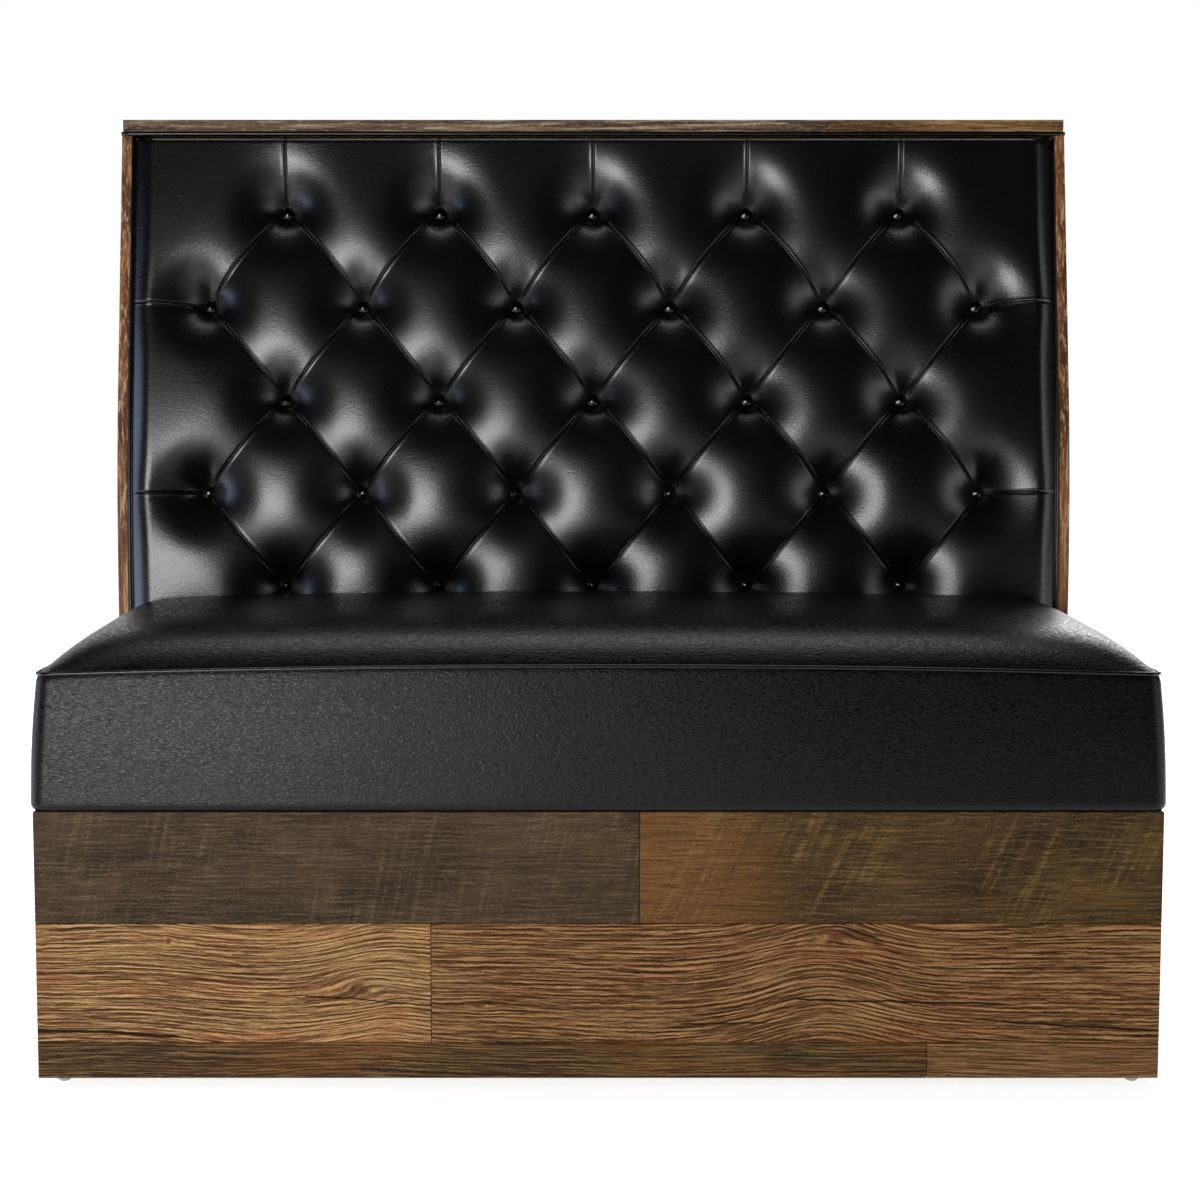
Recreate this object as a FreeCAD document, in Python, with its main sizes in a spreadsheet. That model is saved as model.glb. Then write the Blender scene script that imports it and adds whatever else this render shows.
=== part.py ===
import FreeCAD, Part

import math
import os

import Sketcher

# A dining booth bench: plank-faced plinth, boxed seat cushion and deep-tufted back between end panels.
# Its front faces -Y, X runs across its width, Z is up and the floor is at zero.
# Depths are measured back from the face of the plinth's front planks.

SIZES = {
    # Overall
    "plinth_width": 1210,
    "bench_depth": 635,
    "bench_height": 1097.5,
    "fit_gap": 0.3,
    "cut_overrun": 2,
    # Plinth
    "base_height": 291.4,
    "plank_thickness": 12.7,
    "plank_gap": 0.5,
    "plank_corner": 0.8,
    "lower_course_height": 39.3,
    "middle_course_height": 130.7,
    "upper_joint_x": 44,
    "middle_joint_x": -180,
    "lower_joint_x": 355,
    "ply_thickness": 18,
    "post_side": 45,
    "seat_rail_height": 91,
    "rear_rail_height": 60,
    "fixing_block_side": 40,
    "fixing_block_height": 30,
    "fixing_block_front_depth": 120,
    "fixing_block_rear_gap": 53.3,
    # Levelling feet
    "foot_height": 9,
    "foot_inset": 23,
    "foot_travel": 15,
    "foot_flat_radius": 5,
    "foot_radius": 9,
    "foot_rim_height": 3,
    "stem_radius": 4,
    "stem_spare": 3,
    "nut_bore_radius": 4.2,
    "nut_barrel_radius": 5.5,
    "nut_barrel_height": 12,
    "nut_flange_radius": 9.4,
    "nut_flange_thickness": 1.5,
    # Screws
    "screw_radius": 2,
    "screw_head_radius": 4,
    "screw_head_height": 2.5,
    "screw_bite": 8,
    "screw_clearance": 0.2,
    "seat_screw_bite": 20,
    # End panels and back frame
    "panel_thickness": 12.7,
    "back_depth": 169.7,
    "top_lean": 76.54,
    "rear_panel_thickness": 6,
    "pad_depth": 50,
    "tuft_board_thickness": 9,
    "top_rail_height": 30,
    "top_rail_thickness": 26,
    # Cap
    "cap_thickness": 14.8,
    "cap_side_inset": 2.2,
    "cap_overhang": 6,
    "cap_joint_x": 300,
    "bead_radius": 2.6,
    "bead_lip_depth": 22,
    "bead_lip_thickness": 1,
    # Tufted pad
    "top_row_drop": 90.1,
    "last_row_rise": 63.4,
    "button_seat_height": 28,
    "button_seat_width": 23,
    "pit_depth": 32,
    "pleat_depth": 14,
    "pillow_proud": 12,
    "pad_top_gap": 3,
    "pad_top_bulge": 8,
    "pad_bottom_drop": 7.9,
    "pad_bottom_tuck": 20,
    "pad_side_tuck": 2,
    "pad_edge_bulge": 1,
    "skin_thickness": 1.5,
    "welt_radius": 2,
    "button_radius": 10.5,
    "button_thickness": 6,
    "button_rim": 1.5,
    "tie_radius": 1,
    "anchor_radius": 8,
    "anchor_thickness": 3,
    # Seat cushion
    "cushion_front_overhang": 4,
    "cushion_side_overhang": 4.5,
    "cushion_rear_gap": 14.3,
    "cushion_edge_round": 8,
    "cushion_corner_radius": 18,
    "boxing_lean_front": 11.8,
    "boxing_lean_side": 6.5,
    "boxing_bulge": 3,
    "seam_height": 146.5,
    "seam_rise": 9,
    "crown_height": 51,
    "crown_shoulder_depth": 150,
    "crown_shoulder_drop": 6,
    "crown_front_bulge": 10,
    "crown_top_bulge": 4,
    "crown_rear_drop": 9,
    "hem_width": 24,
    "seat_welt_radius": 2.2,
    "seat_frame_inset": 9.5,
    "seat_frame_front_inset": 10,
    "seat_frame_rear_inset": 6,
    "frame_rail_width": 50,
    "frame_rail_height": 36,
    "spring_wire_radius": 1.8,
    "spring_half_width": 25,
    "clip_length": 14,
    "clip_thickness": 1,
    "felt_thickness": 4,
}

ROW_COUNT = 5
ODD_COLUMNS = (-2, -1, 0, 1, 2)
EVEN_COLUMNS = (-2.5, -1.5, -0.5, 0.5, 1.5, 2.5)
COLUMNS_PER_HALF = 3
SPRING_COUNT = 8
SPRING_BAR_COUNT = 12
INNER_RIB_COLUMN = 1.25

# Where the back bends, as shares of the pad's height and of the knee's height over its bottom
KNEE_SHARE = 0.30437
BEND_SHARE = 0.6427

document = FreeCAD.newDocument("bench")
sheet = document.addObject("Spreadsheet::Sheet", "sizes")
parts = []


class Length:
    """A size with the sheet expression that gives it."""

    def __init__(self, value, text):
        self.value = float(value)
        self.text = text

    def __float__(self):
        return self.value

    def joined(self, sign, other, value):
        return Length(value, f"({self.text} {sign} {other.text})")

    def __add__(self, other):
        other = as_length(other)
        return self.joined("+", other, self.value + other.value)

    def __radd__(self, other):
        return as_length(other) + self

    def __sub__(self, other):
        other = as_length(other)
        return self.joined("-", other, self.value - other.value)

    def __rsub__(self, other):
        return as_length(other) - self

    def __mul__(self, other):
        other = as_length(other)
        return self.joined("*", other, self.value * other.value)

    def __rmul__(self, other):
        return as_length(other) * self

    def __truediv__(self, other):
        other = as_length(other)
        return self.joined("/", other, self.value / other.value)

    def __neg__(self):
        return Length(-self.value, f"(0 - {self.text})")


def as_length(value):
    return value if isinstance(value, Length) else Length(value, repr(value))


def sine(angle):
    return Length(math.sin(math.radians(float(angle))), f"sin({angle.text})")


def cosine(angle):
    return Length(math.cos(math.radians(float(angle))), f"cos({angle.text})")


def tangent(angle):
    return Length(math.tan(math.radians(float(angle))), f"tan({angle.text})")


def angle_of(slope):
    """The angle in degrees whose tangent is the slope."""
    return Length(math.degrees(math.atan(float(slope))), f"atan({slope.text})")


def fill_sheet():
    """Write each size in the sheet and give back the sizes by name."""
    lengths = {}
    for row, (name, value) in enumerate(SIZES.items(), start=1):
        sheet.set(f"A{row}", name)
        sheet.set(f"B{row}", str(value))
        sheet.setAlias(f"B{row}", name)
        lengths[name] = Length(value, f"sizes.{name}")
    document.recompute()
    return lengths


size = fill_sheet()

ZERO = Length(0, "0")
HALF_PLINTH = size["plinth_width"] / 2
INNER_HALF = HALF_PLINTH - size["panel_thickness"]
PLANK_FACE = size["cushion_front_overhang"] - size["bench_depth"] / 2
REAR_FACE = size["bench_depth"] / 2
FLOOR_GAP = size["foot_height"]
BASE_TOP = FLOOR_GAP + size["base_height"]
CAP_TOP = size["bench_height"]
CAP_BOTTOM = CAP_TOP - size["cap_thickness"]
PANEL_BACK = REAR_FACE - size["rear_panel_thickness"]
PLY_FRONT = PLANK_FACE + size["plank_thickness"]
POST_BACK = PLY_FRONT + size["post_side"]
REAR_POST_FRONT = PANEL_BACK - size["post_side"]
POST_INNER = INNER_HALF - size["post_side"]
SIDE_INNER = INNER_HALF - size["ply_thickness"]
PANEL_EDGE = REAR_FACE - size["back_depth"]
SEAT_RAIL_FRONT = PANEL_EDGE - size["ply_thickness"]
DECK_TOP = BASE_TOP + size["ply_thickness"]
COLUMN_PITCH = INNER_HALF / COLUMNS_PER_HALF
BOARD_DEPTH = size["pad_depth"]
RIB_DEPTH = size["pad_depth"] + size["tuft_board_thickness"]
TOP_RAIL_BOTTOM = CAP_BOTTOM - size["top_rail_height"]
PAD_TOP = CAP_BOTTOM - size["bead_radius"] * 2 - size["pad_top_gap"]
PAD_BOTTOM = BASE_TOP + size["seam_height"] - size["pad_bottom_drop"]
TOP_ROW = PAD_TOP - size["top_row_drop"]
ROW_PITCH = (TOP_ROW - PAD_BOTTOM - size["last_row_rise"]) / (ROW_COUNT - 1)
KNEE = PAD_BOTTOM + (CAP_BOTTOM - PAD_BOTTOM) * KNEE_SHARE
BEND_REACH = (KNEE - PAD_BOTTOM) * BEND_SHARE
BEND_START = KNEE - BEND_REACH
RECLINE_ANGLE = angle_of(size["top_lean"] / (CAP_BOTTOM - KNEE))
BEND_RADIUS = BEND_REACH / tangent(RECLINE_ANGLE / 2)
STEM_LENGTH = size["nut_barrel_height"] + size["foot_travel"] + size["stem_spare"]
CUSHION_HALF = HALF_PLINTH + size["cushion_side_overhang"]
CUSHION_FRONT = PLANK_FACE - size["cushion_front_overhang"]
CUSHION_REAR = PANEL_EDGE - size["cushion_rear_gap"]
SEAT_FRAME_HALF = CUSHION_HALF - size["seat_frame_inset"]
SEAT_FRAME_FRONT = CUSHION_FRONT + size["seat_frame_front_inset"]
SEAT_FRAME_REAR = CUSHION_REAR - size["seat_frame_rear_inset"]


# Document helpers

def bind(item, path, length):
    item.setExpression(path, as_length(length).text)


def keep(name, item):
    """Name a finished piece and list it for writing."""
    item.Label = name
    parts.append(item)
    return item


def place(item, x, y, z):
    for axis, length in zip("xyz", (x, y, z)):
        bind(item, f"Placement.Base.{axis}", length)


def block(name, x_span, y_span, z_span):
    item = document.addObject("Part::Box", name)
    for side, span in (("Length", x_span), ("Width", y_span), ("Height", z_span)):
        bind(item, side, span[1] - span[0])
    place(item, x_span[0], y_span[0], z_span[0])
    return item


def drilled(name, item, tool):
    cut = document.addObject("Part::Cut", name)
    cut.Base = item
    cut.Tool = tool
    return cut


def shaped(name, shape):
    """A piece whose form is worked out from the sheet's sizes."""
    item = document.addObject("Part::Feature", name)
    item.Shape = shape
    return item


def plane_of(body, role):
    return next(item for item in body.Origin.OriginFeatures if item.Role == role)


def outline_sketch(body, role, corners, radii=None):
    """A closed sketch through corners; an edge with a radius and a centre is an arc."""
    radii = radii or {}
    sketch = body.newObject("Sketcher::SketchObject", body.Name + "_outline")
    sketch.AttachmentSupport = (plane_of(body, role), [""])
    sketch.MapMode = "FlatFace"
    vectors = [FreeCAD.Vector(float(a), float(b), 0) for a, b in corners]
    for index, start in enumerate(vectors):
        end = vectors[(index + 1) % len(vectors)]
        if index in radii:
            sketch.addGeometry(arc_between(start, end, float(radii[index][0]), radii[index][1]), False)
        else:
            sketch.addGeometry(Part.LineSegment(start, end), False)
    for index in range(len(vectors)):
        following = (index + 1) % len(vectors)
        first = 1 if start_is_first(sketch.Geometry[following], vectors[following]) else 2
        last = 2 if start_is_first(sketch.Geometry[index], vectors[index]) else 1
        sketch.addConstraint(Sketcher.Constraint("Coincident", index, last, following, first))
    for index, (a, b) in enumerate(corners):
        first = 1 if start_is_first(sketch.Geometry[index], vectors[index]) else 2
        for kind, length in (("DistanceX", a), ("DistanceY", b)):
            number = sketch.addConstraint(Sketcher.Constraint(kind, -1, 1, index, first, float(length)))
            sketch.setExpression(f"Constraints[{number}]", as_length(length).text)
    for index, (radius, _) in radii.items():
        number = sketch.addConstraint(Sketcher.Constraint("Radius", index, float(radius)))
        sketch.setExpression(f"Constraints[{number}]", radius.text)
    return sketch


def start_is_first(edge, corner):
    return edge.StartPoint.distanceToPoint(corner) < edge.EndPoint.distanceToPoint(corner)


def arc_between(start, end, radius, side):
    """The short arc between two corners, drawn anticlockwise; side picks which way it bulges."""
    chord = end - start
    across = FreeCAD.Vector(-chord.y, chord.x, 0).normalize() * side
    centre = (start + end) * 0.5 - across * math.sqrt(radius ** 2 - (chord.Length / 2) ** 2)
    first, last = (start, end) if side < 0 else (end, start)
    angles = [math.atan2(point.y - centre.y, point.x - centre.x) for point in (first, last)]
    if angles[1] < angles[0]:
        angles[1] += 2 * math.pi
    return Part.ArcOfCircle(Part.Circle(centre, FreeCAD.Vector(0, 0, 1), radius), *angles)


def turned(name, corners, radii=None):
    """A body turned about its own Z axis from an outline of radius and height."""
    body = document.addObject("PartDesign::Body", name)
    sketch = outline_sketch(body, "XZ_Plane", corners, radii)
    turn = body.newObject("PartDesign::Revolution", name + "_turn")
    turn.Profile = sketch
    turn.ReferenceAxis = (sketch, ["V_Axis"])
    turn.Angle = 360
    sketch.Visibility = False
    document.recompute()
    return body


def cut_from_board(name, corners, thickness, x, radii=None):
    """A body sawn from a board that stands in the YZ plane, its near face at x."""
    body = document.addObject("PartDesign::Body", name)
    sketch = outline_sketch(body, "YZ_Plane", corners, radii)
    pad = body.newObject("PartDesign::Pad", name + "_pad")
    pad.Profile = sketch
    bind(pad, "Length", thickness)
    bind(body, "Placement.Base.x", x)
    document.recompute()
    return body


def copies(shape, places):
    """Copies of a shape, each moved to its own place."""
    solids = []
    for placement in places:
        solid = shape.copy()
        solid.Placement = placement.multiply(solid.Placement)
        solids.append(solid)
    return Part.makeCompound(solids)


def at(x, y, z, direction=FreeCAD.Vector(0, 0, 1)):
    """A place whose own Z axis points along a direction."""
    turn = FreeCAD.Rotation(FreeCAD.Vector(0, 0, 1), direction)
    return FreeCAD.Placement(FreeCAD.Vector(float(x), float(y), float(z)), turn)


def span_about(middle, width):
    return (middle - width / 2, middle + width / 2)


def both_sides(x_span, side):
    """The span itself on the right, its mirror on the left."""
    return x_span if side == "right" else (-x_span[1], -x_span[0])


# The reclining curve that the end panels, tuft board, ribs and pad share

def curve_corners(depth, bottom, top):
    """Corners of the curve at a depth behind the panel edge, from bottom to top, and its arc radius."""
    radius = BEND_RADIUS - depth
    centre_y = PANEL_EDGE + BEND_RADIUS
    bend_end_y = centre_y - radius * cosine(RECLINE_ANGLE)
    bend_end_z = BEND_START + radius * sine(RECLINE_ANGLE)
    top_y = bend_end_y + (top - bend_end_z) * tangent(RECLINE_ANGLE)
    corners = [
        (PANEL_EDGE + depth, bottom),
        (PANEL_EDGE + depth, BEND_START),
        (bend_end_y, bend_end_z),
        (top_y, top),
    ]
    return corners, radius


def lean_at(height):
    """How far the panel edge leans back at a height, in radians."""
    climb = (height - float(BEND_START)) / float(BEND_RADIUS)
    most = math.radians(float(RECLINE_ANGLE))
    return min(math.asin(min(max(climb, 0.0), 1.0)), most)


def edge_y(height):
    """The panel edge's Y at a height."""
    radius = float(BEND_RADIUS)
    most = math.radians(float(RECLINE_ANGLE))
    lean = lean_at(height)
    bend_end = float(BEND_START) + radius * math.sin(most)
    beyond = max(height - bend_end, 0.0) * math.tan(most)
    return float(PANEL_EDGE) + radius * (1 - math.cos(lean)) + beyond


def off_edge(height, proud):
    """The point that stands proud of the panel edge, square to it, in the middle plane."""
    lean = lean_at(height)
    return FreeCAD.Vector(0, edge_y(height) - proud * math.cos(lean), height + proud * math.sin(lean))


def curve_wire(depth, bottom, top):
    corners, radius = curve_corners(depth, bottom, top)
    points = [FreeCAD.Vector(0, float(y), float(z)) for y, z in corners]
    half = math.radians(float(RECLINE_ANGLE)) / 2
    middle = FreeCAD.Vector(
        0,
        float(PANEL_EDGE + BEND_RADIUS) - float(radius) * math.cos(half),
        float(BEND_START) + float(radius) * math.sin(half),
    )
    return [
        Part.makeLine(points[0], points[1]),
        Part.Arc(points[1], middle, points[2]).toShape(),
        Part.makeLine(points[2], points[3]),
    ]


# Plinth

def add_plinth_frame():
    front = block("front_panel_blank", (-POST_INNER, POST_INNER),
                  (PLY_FRONT, PLY_FRONT + size["ply_thickness"]), (FLOOR_GAP, BASE_TOP))
    holes = shaped("front_panel_holes", copies(screw_hole(size["ply_thickness"]), plank_screw_places()))
    keep("base_front_panel", drilled("base_front_panel", front, holes))
    for side in ("left", "right"):
        add_plinth_side(side)
    keep("base_seat_rail", block("base_seat_rail", (-SIDE_INNER, SIDE_INNER),
                                 (SEAT_RAIL_FRONT, PANEL_EDGE),
                                 (BASE_TOP - size["seat_rail_height"], BASE_TOP)))
    keep("base_divider", block("base_divider", span_about(ZERO, size["ply_thickness"]),
                               (PLY_FRONT + size["ply_thickness"], SEAT_RAIL_FRONT),
                               (FLOOR_GAP, BASE_TOP)))
    keep("base_rear_rail", block("base_rear_rail", (-POST_INNER, POST_INNER),
                                 (PANEL_BACK - size["ply_thickness"], PANEL_BACK),
                                 (FLOOR_GAP, FLOOR_GAP + size["rear_rail_height"])))


def add_plinth_side(side):
    blank = block(f"side_blank_{side}", both_sides((SIDE_INNER, INNER_HALF), side),
                  (POST_BACK, REAR_POST_FRONT), (FLOOR_GAP, BASE_TOP))
    holes = shaped(f"side_holes_{side}",
                   copies(screw_hole(size["ply_thickness"]), side_screw_places(side)))
    keep(f"base_side_{side}", drilled(f"base_side_{side}", blank, holes))
    for end, y_span in (("front", (PLY_FRONT, POST_BACK)), ("rear", (REAR_POST_FRONT, PANEL_BACK))):
        add_post(end, side, y_span)


def foot_place(end, side):
    x = HALF_PLINTH - size["foot_inset"]
    y = PLANK_FACE + size["foot_inset"] if end == "front" else REAR_FACE - size["foot_inset"]
    return (x if side == "right" else -x), y


def add_post(end, side, y_span):
    post = block(f"post_blank_{end}_{side}", both_sides((POST_INNER, INNER_HALF), side), y_span,
                 (FLOOR_GAP, BASE_TOP))
    gap = size["screw_clearance"]
    lowest = -size["cut_overrun"]
    flange_top = size["nut_flange_thickness"] + gap
    barrel_top = size["nut_barrel_height"] + gap
    stem_top = STEM_LENGTH + size["cut_overrun"]
    bore = turned(f"post_bore_{end}_{side}", [
        (ZERO, lowest),
        (size["nut_flange_radius"] + gap, lowest),
        (size["nut_flange_radius"] + gap, flange_top),
        (size["nut_barrel_radius"] + gap, flange_top),
        (size["nut_barrel_radius"] + gap, barrel_top),
        (size["nut_bore_radius"] + gap, barrel_top),
        (size["nut_bore_radius"] + gap, stem_top),
        (ZERO, stem_top),
    ])
    x, y = foot_place(end, side)
    place(bore, x, y, FLOOR_GAP)
    keep(f"base_post_{end}_{side}", drilled(f"base_post_{end}_{side}", post, bore))


def course_spans():
    """Each course's name, height span and joint across the front, from the floor up."""
    gap = size["plank_gap"] / 2
    lower_top = FLOOR_GAP + size["lower_course_height"]
    middle_top = lower_top + size["middle_course_height"]
    return [
        ("lower", (FLOOR_GAP, lower_top - gap), size["lower_joint_x"]),
        ("middle", (lower_top + gap, middle_top - gap), size["middle_joint_x"]),
        ("upper", (middle_top + gap, BASE_TOP), size["upper_joint_x"]),
    ]


def front_planks():
    """Each front plank's name with its X and Z spans."""
    gap = size["plank_gap"] / 2
    planks = []
    for course, z_span, joint in course_spans():
        planks.append((f"plank_{course}_left", (-HALF_PLINTH, joint - gap), z_span))
        planks.append((f"plank_{course}_right", (joint + gap, HALF_PLINTH), z_span))
    return planks


def plank_screws(x_span, z_span):
    """Two screws in each plank, clear of the posts and the divider."""
    inset = size["post_side"] + size["plank_thickness"] + size["screw_head_radius"] * 2
    height = (z_span[0] + z_span[1]) / 2
    y = PLY_FRONT + size["ply_thickness"]
    forward = FreeCAD.Vector(0, -1, 0)
    return [at(x_span[0] + inset, y, height, forward), at(x_span[1] - inset, y, height, forward)]


def plank_screw_places():
    return [spot for _, x_span, z_span in front_planks() for spot in plank_screws(x_span, z_span)]


def screw_hole(through):
    """A hole that takes a screw's head in its mouth, pointing along Z from the mouth."""
    gap = float(size["screw_clearance"])
    reach = float(through + size["screw_bite"]) + gap
    over = float(size["cut_overrun"])
    head = Part.makeCylinder(float(size["screw_head_radius"]) + gap,
                             float(size["screw_head_height"]) + over + gap,
                             FreeCAD.Vector(0, 0, -over))
    shank = Part.makeCylinder(float(size["screw_radius"]) + gap, reach)
    return head.fuse(shank)


def screw(name, through, bite):
    """A screw whose head lies flush in the mouth of its hole, pointing along Z."""
    shank = size["screw_radius"]
    point = through + bite
    return turned(name, [
        (ZERO, ZERO),
        (size["screw_head_radius"], ZERO),
        (size["screw_head_radius"], size["screw_head_height"]),
        (shank, size["screw_head_height"]),
        (shank, point - shank),
        (ZERO, point),
    ])


def add_screws(name, through, bite, places):
    pattern = screw(name + "_pattern", through, bite)
    keep(name, shaped(name, copies(pattern.Shape, places)))


def softened(name, item, radius):
    """The same piece with its edges eased."""
    eased = document.addObject("Part::Fillet", name)
    eased.Base = item
    document.recompute()
    eased.Edges = [(number + 1, float(radius), float(radius)) for number in range(len(item.Shape.Edges))]
    return eased


def add_front_planks():
    for name, x_span, z_span in front_planks():
        blank = softened(name + "_eased", block(name + "_blank", x_span, (PLANK_FACE, PLY_FRONT), z_span),
                         size["plank_corner"])
        holes = shaped(name + "_holes",
                       copies(screw_hole(size["ply_thickness"]), plank_screws(x_span, z_span)))
        keep(name, drilled(name, blank, holes))
    add_screws("plank_screws", size["ply_thickness"], size["screw_bite"], plank_screw_places())


def add_side_planks():
    for side in ("left", "right"):
        x_span = both_sides((INNER_HALF, HALF_PLINTH), side)
        course = [block(f"side_plank_{course}_{side}", x_span, (PLY_FRONT, PANEL_EDGE), z_span)
                  for course, z_span, _ in course_spans()]
        group = document.addObject("Part::Compound", f"side_planks_{side}")
        group.Links = course
        keep(f"side_planks_{side}", group)


def add_fixing_blocks():
    low = BASE_TOP - size["fixing_block_height"]
    blocks = []
    for side, y_span in fixing_block_spots():
        x_span = both_sides((SIDE_INNER - size["fixing_block_side"], SIDE_INNER), side)
        blocks.append(block(f"fixing_blank_{len(blocks)}", x_span, y_span, (low, BASE_TOP)))
    group = document.addObject("Part::Compound", "fixing_block_blanks")
    group.Links = blocks
    holes = shaped("fixing_block_holes", copies(screw_hole(size["fixing_block_height"]),
                                                seat_screw_places()))
    keep("seat_fixing_blocks", drilled("seat_fixing_blocks", group, holes))


def fixing_block_spots():
    front = PLANK_FACE + size["fixing_block_front_depth"]
    rear = SEAT_RAIL_FRONT - size["fixing_block_rear_gap"] - size["fixing_block_side"]
    return [(side, (near, near + size["fixing_block_side"]))
            for side in ("left", "right") for near in (front, rear)]


def seat_screw_places():
    """The seat's screws stand in the middle of each block and of the rail above it."""
    x = (SIDE_INNER + SEAT_FRAME_HALF - size["frame_rail_width"]) / 2
    low = BASE_TOP - size["fixing_block_height"]
    return [at(x if side == "right" else -x, (y_span[0] + y_span[1]) / 2, low)
            for side, y_span in fixing_block_spots()]


# Levelling feet

def foot_outline():
    """Domed glide, flat where it stands, with its stem, from the floor up."""
    seat = size["foot_height"]
    return [
        (ZERO, ZERO),
        (size["foot_flat_radius"], ZERO),
        (size["foot_radius"], seat - size["foot_rim_height"]),
        (size["foot_radius"], seat),
        (size["stem_radius"], seat),
        (size["stem_radius"], seat + STEM_LENGTH),
        (ZERO, seat + STEM_LENGTH),
    ]


def add_feet():
    nut = turned("tee_nut_pattern", [
        (size["nut_bore_radius"], ZERO),
        (size["nut_flange_radius"], ZERO),
        (size["nut_flange_radius"], size["nut_flange_thickness"]),
        (size["nut_barrel_radius"], size["nut_flange_thickness"]),
        (size["nut_barrel_radius"], size["nut_barrel_height"]),
        (size["nut_bore_radius"], size["nut_barrel_height"]),
    ])
    spots = []
    for end in ("front", "rear"):
        for side in ("left", "right"):
            x, y = foot_place(end, side)
            spots.append(at(x, y, FLOOR_GAP))
            foot = turned(f"leveller_{end}_{side}", foot_outline(), {1: (size["foot_radius"], -1)})
            place(foot, x, y, ZERO)
            keep(f"leveller_{end}_{side}", foot)
    keep("tee_nuts", shaped("tee_nuts", copies(nut.Shape, spots)))


# End panels, back frame and cap

def side_screw_places(side):
    """Screws from inside the plinth side into the end panel."""
    outward = FreeCAD.Vector(1 if side == "right" else -1, 0, 0)
    x = SIDE_INNER if side == "right" else -SIDE_INNER
    y = PANEL_EDGE + size["ply_thickness"]
    heights = (BASE_TOP - size["seat_rail_height"] / 2, FLOOR_GAP + size["rear_rail_height"])
    return [at(x, y, height, outward) for height in heights]


RIB_SCREW_COUNT = 3


def rib_screw_places(side):
    """Screws from inside the outer rib into the end panel."""
    outward = FreeCAD.Vector(1 if side == "right" else -1, 0, 0)
    x = SIDE_INNER if side == "right" else -SIDE_INNER
    y = PANEL_BACK - size["top_rail_thickness"] / 2
    first = DECK_TOP + ROW_PITCH
    return [at(x, y, first + ROW_PITCH * step * 2, outward) for step in range(RIB_SCREW_COUNT)]


def add_end_panels():
    corners, radius = curve_corners(ZERO, FLOOR_GAP, CAP_BOTTOM)
    corners = corners + [(REAR_FACE, CAP_BOTTOM), (REAR_FACE, FLOOR_GAP)]
    for side in ("left", "right"):
        name = f"end_panel_{side}"
        x = both_sides((INNER_HALF, HALF_PLINTH), side)[0]
        blank = cut_from_board(name + "_blank", corners, size["panel_thickness"], x, {1: (radius, 1)})
        spots = side_screw_places(side) + rib_screw_places(side)
        holes = shaped(name + "_holes", copies(screw_hole(size["ply_thickness"]), spots))
        keep(name, drilled(name, blank, holes))
    places = [spot for side in ("left", "right") for spot in side_screw_places(side) + rib_screw_places(side)]
    add_screws("end_panel_screws", size["ply_thickness"], size["screw_bite"], places)


def add_ribs():
    top = TOP_RAIL_BOTTOM
    corners, radius = curve_corners(RIB_DEPTH, DECK_TOP, top)
    corners = corners + [(PANEL_BACK, top), (PANEL_BACK, DECK_TOP)]
    inner = COLUMN_PITCH * INNER_RIB_COLUMN - size["ply_thickness"] / 2
    spans = {
        "back_rib_left": -INNER_HALF,
        "back_rib_inner_left": -inner - size["ply_thickness"],
        "back_rib_inner_right": inner,
        "back_rib_right": SIDE_INNER,
    }
    for name, x in spans.items():
        rib = cut_from_board(name + "_blank", corners, size["ply_thickness"], x, {1: (radius, 1)})
        side = name.replace("back_rib_", "")
        if side in ("left", "right"):
            holes = shaped(name + "_holes",
                           copies(screw_hole(size["ply_thickness"]), rib_screw_places(side)))
            rib = drilled(name, rib, holes)
        keep(name, rib)


def add_back_frame():
    keep("back_deck", block("back_deck", (-INNER_HALF, INNER_HALF), (PANEL_EDGE, PANEL_BACK),
                            (BASE_TOP, DECK_TOP)))
    keep("rear_panel", block("rear_panel", (-INNER_HALF, INNER_HALF), (PANEL_BACK, REAR_FACE),
                             (FLOOR_GAP, CAP_BOTTOM)))
    rail = block("top_rail_blank", (-INNER_HALF, INNER_HALF),
                 (PANEL_BACK - size["top_rail_thickness"], PANEL_BACK), (TOP_RAIL_BOTTOM, CAP_BOTTOM))
    holes = shaped("top_rail_holes", copies(screw_hole(size["top_rail_height"]), cap_screw_places()))
    keep("back_top_rail", drilled("back_top_rail", rail, holes))
    add_ribs()


CAP_SCREW_SHARES = (-0.87, -0.55, -0.2, 0.2, 0.62, 0.87)


def cap_screw_places():
    y = PANEL_BACK - size["top_rail_thickness"] / 2
    return [at(INNER_HALF * share, y, TOP_RAIL_BOTTOM) for share in CAP_SCREW_SHARES]


def cap_front():
    corners, _ = curve_corners(ZERO, FLOOR_GAP, CAP_BOTTOM)
    return corners[-1][0] - size["cap_overhang"]


def add_cap():
    gap = size["plank_gap"] / 2
    edge = HALF_PLINTH - size["cap_side_inset"]
    spans = {
        "cap_board_left": (-edge, size["cap_joint_x"] - gap),
        "cap_board_right": (size["cap_joint_x"] + gap, edge),
    }
    for name, x_span in spans.items():
        blank = softened(name + "_eased", block(name + "_blank", x_span, (cap_front(), REAR_FACE),
                                                (CAP_BOTTOM, CAP_TOP)), size["plank_corner"])
        holes = shaped(name + "_holes", copies(screw_hole(size["top_rail_height"]), cap_screw_places()))
        keep(name, drilled(name, blank, holes))
    add_screws("cap_screws", size["top_rail_height"], size["screw_bite"], cap_screw_places())


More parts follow.
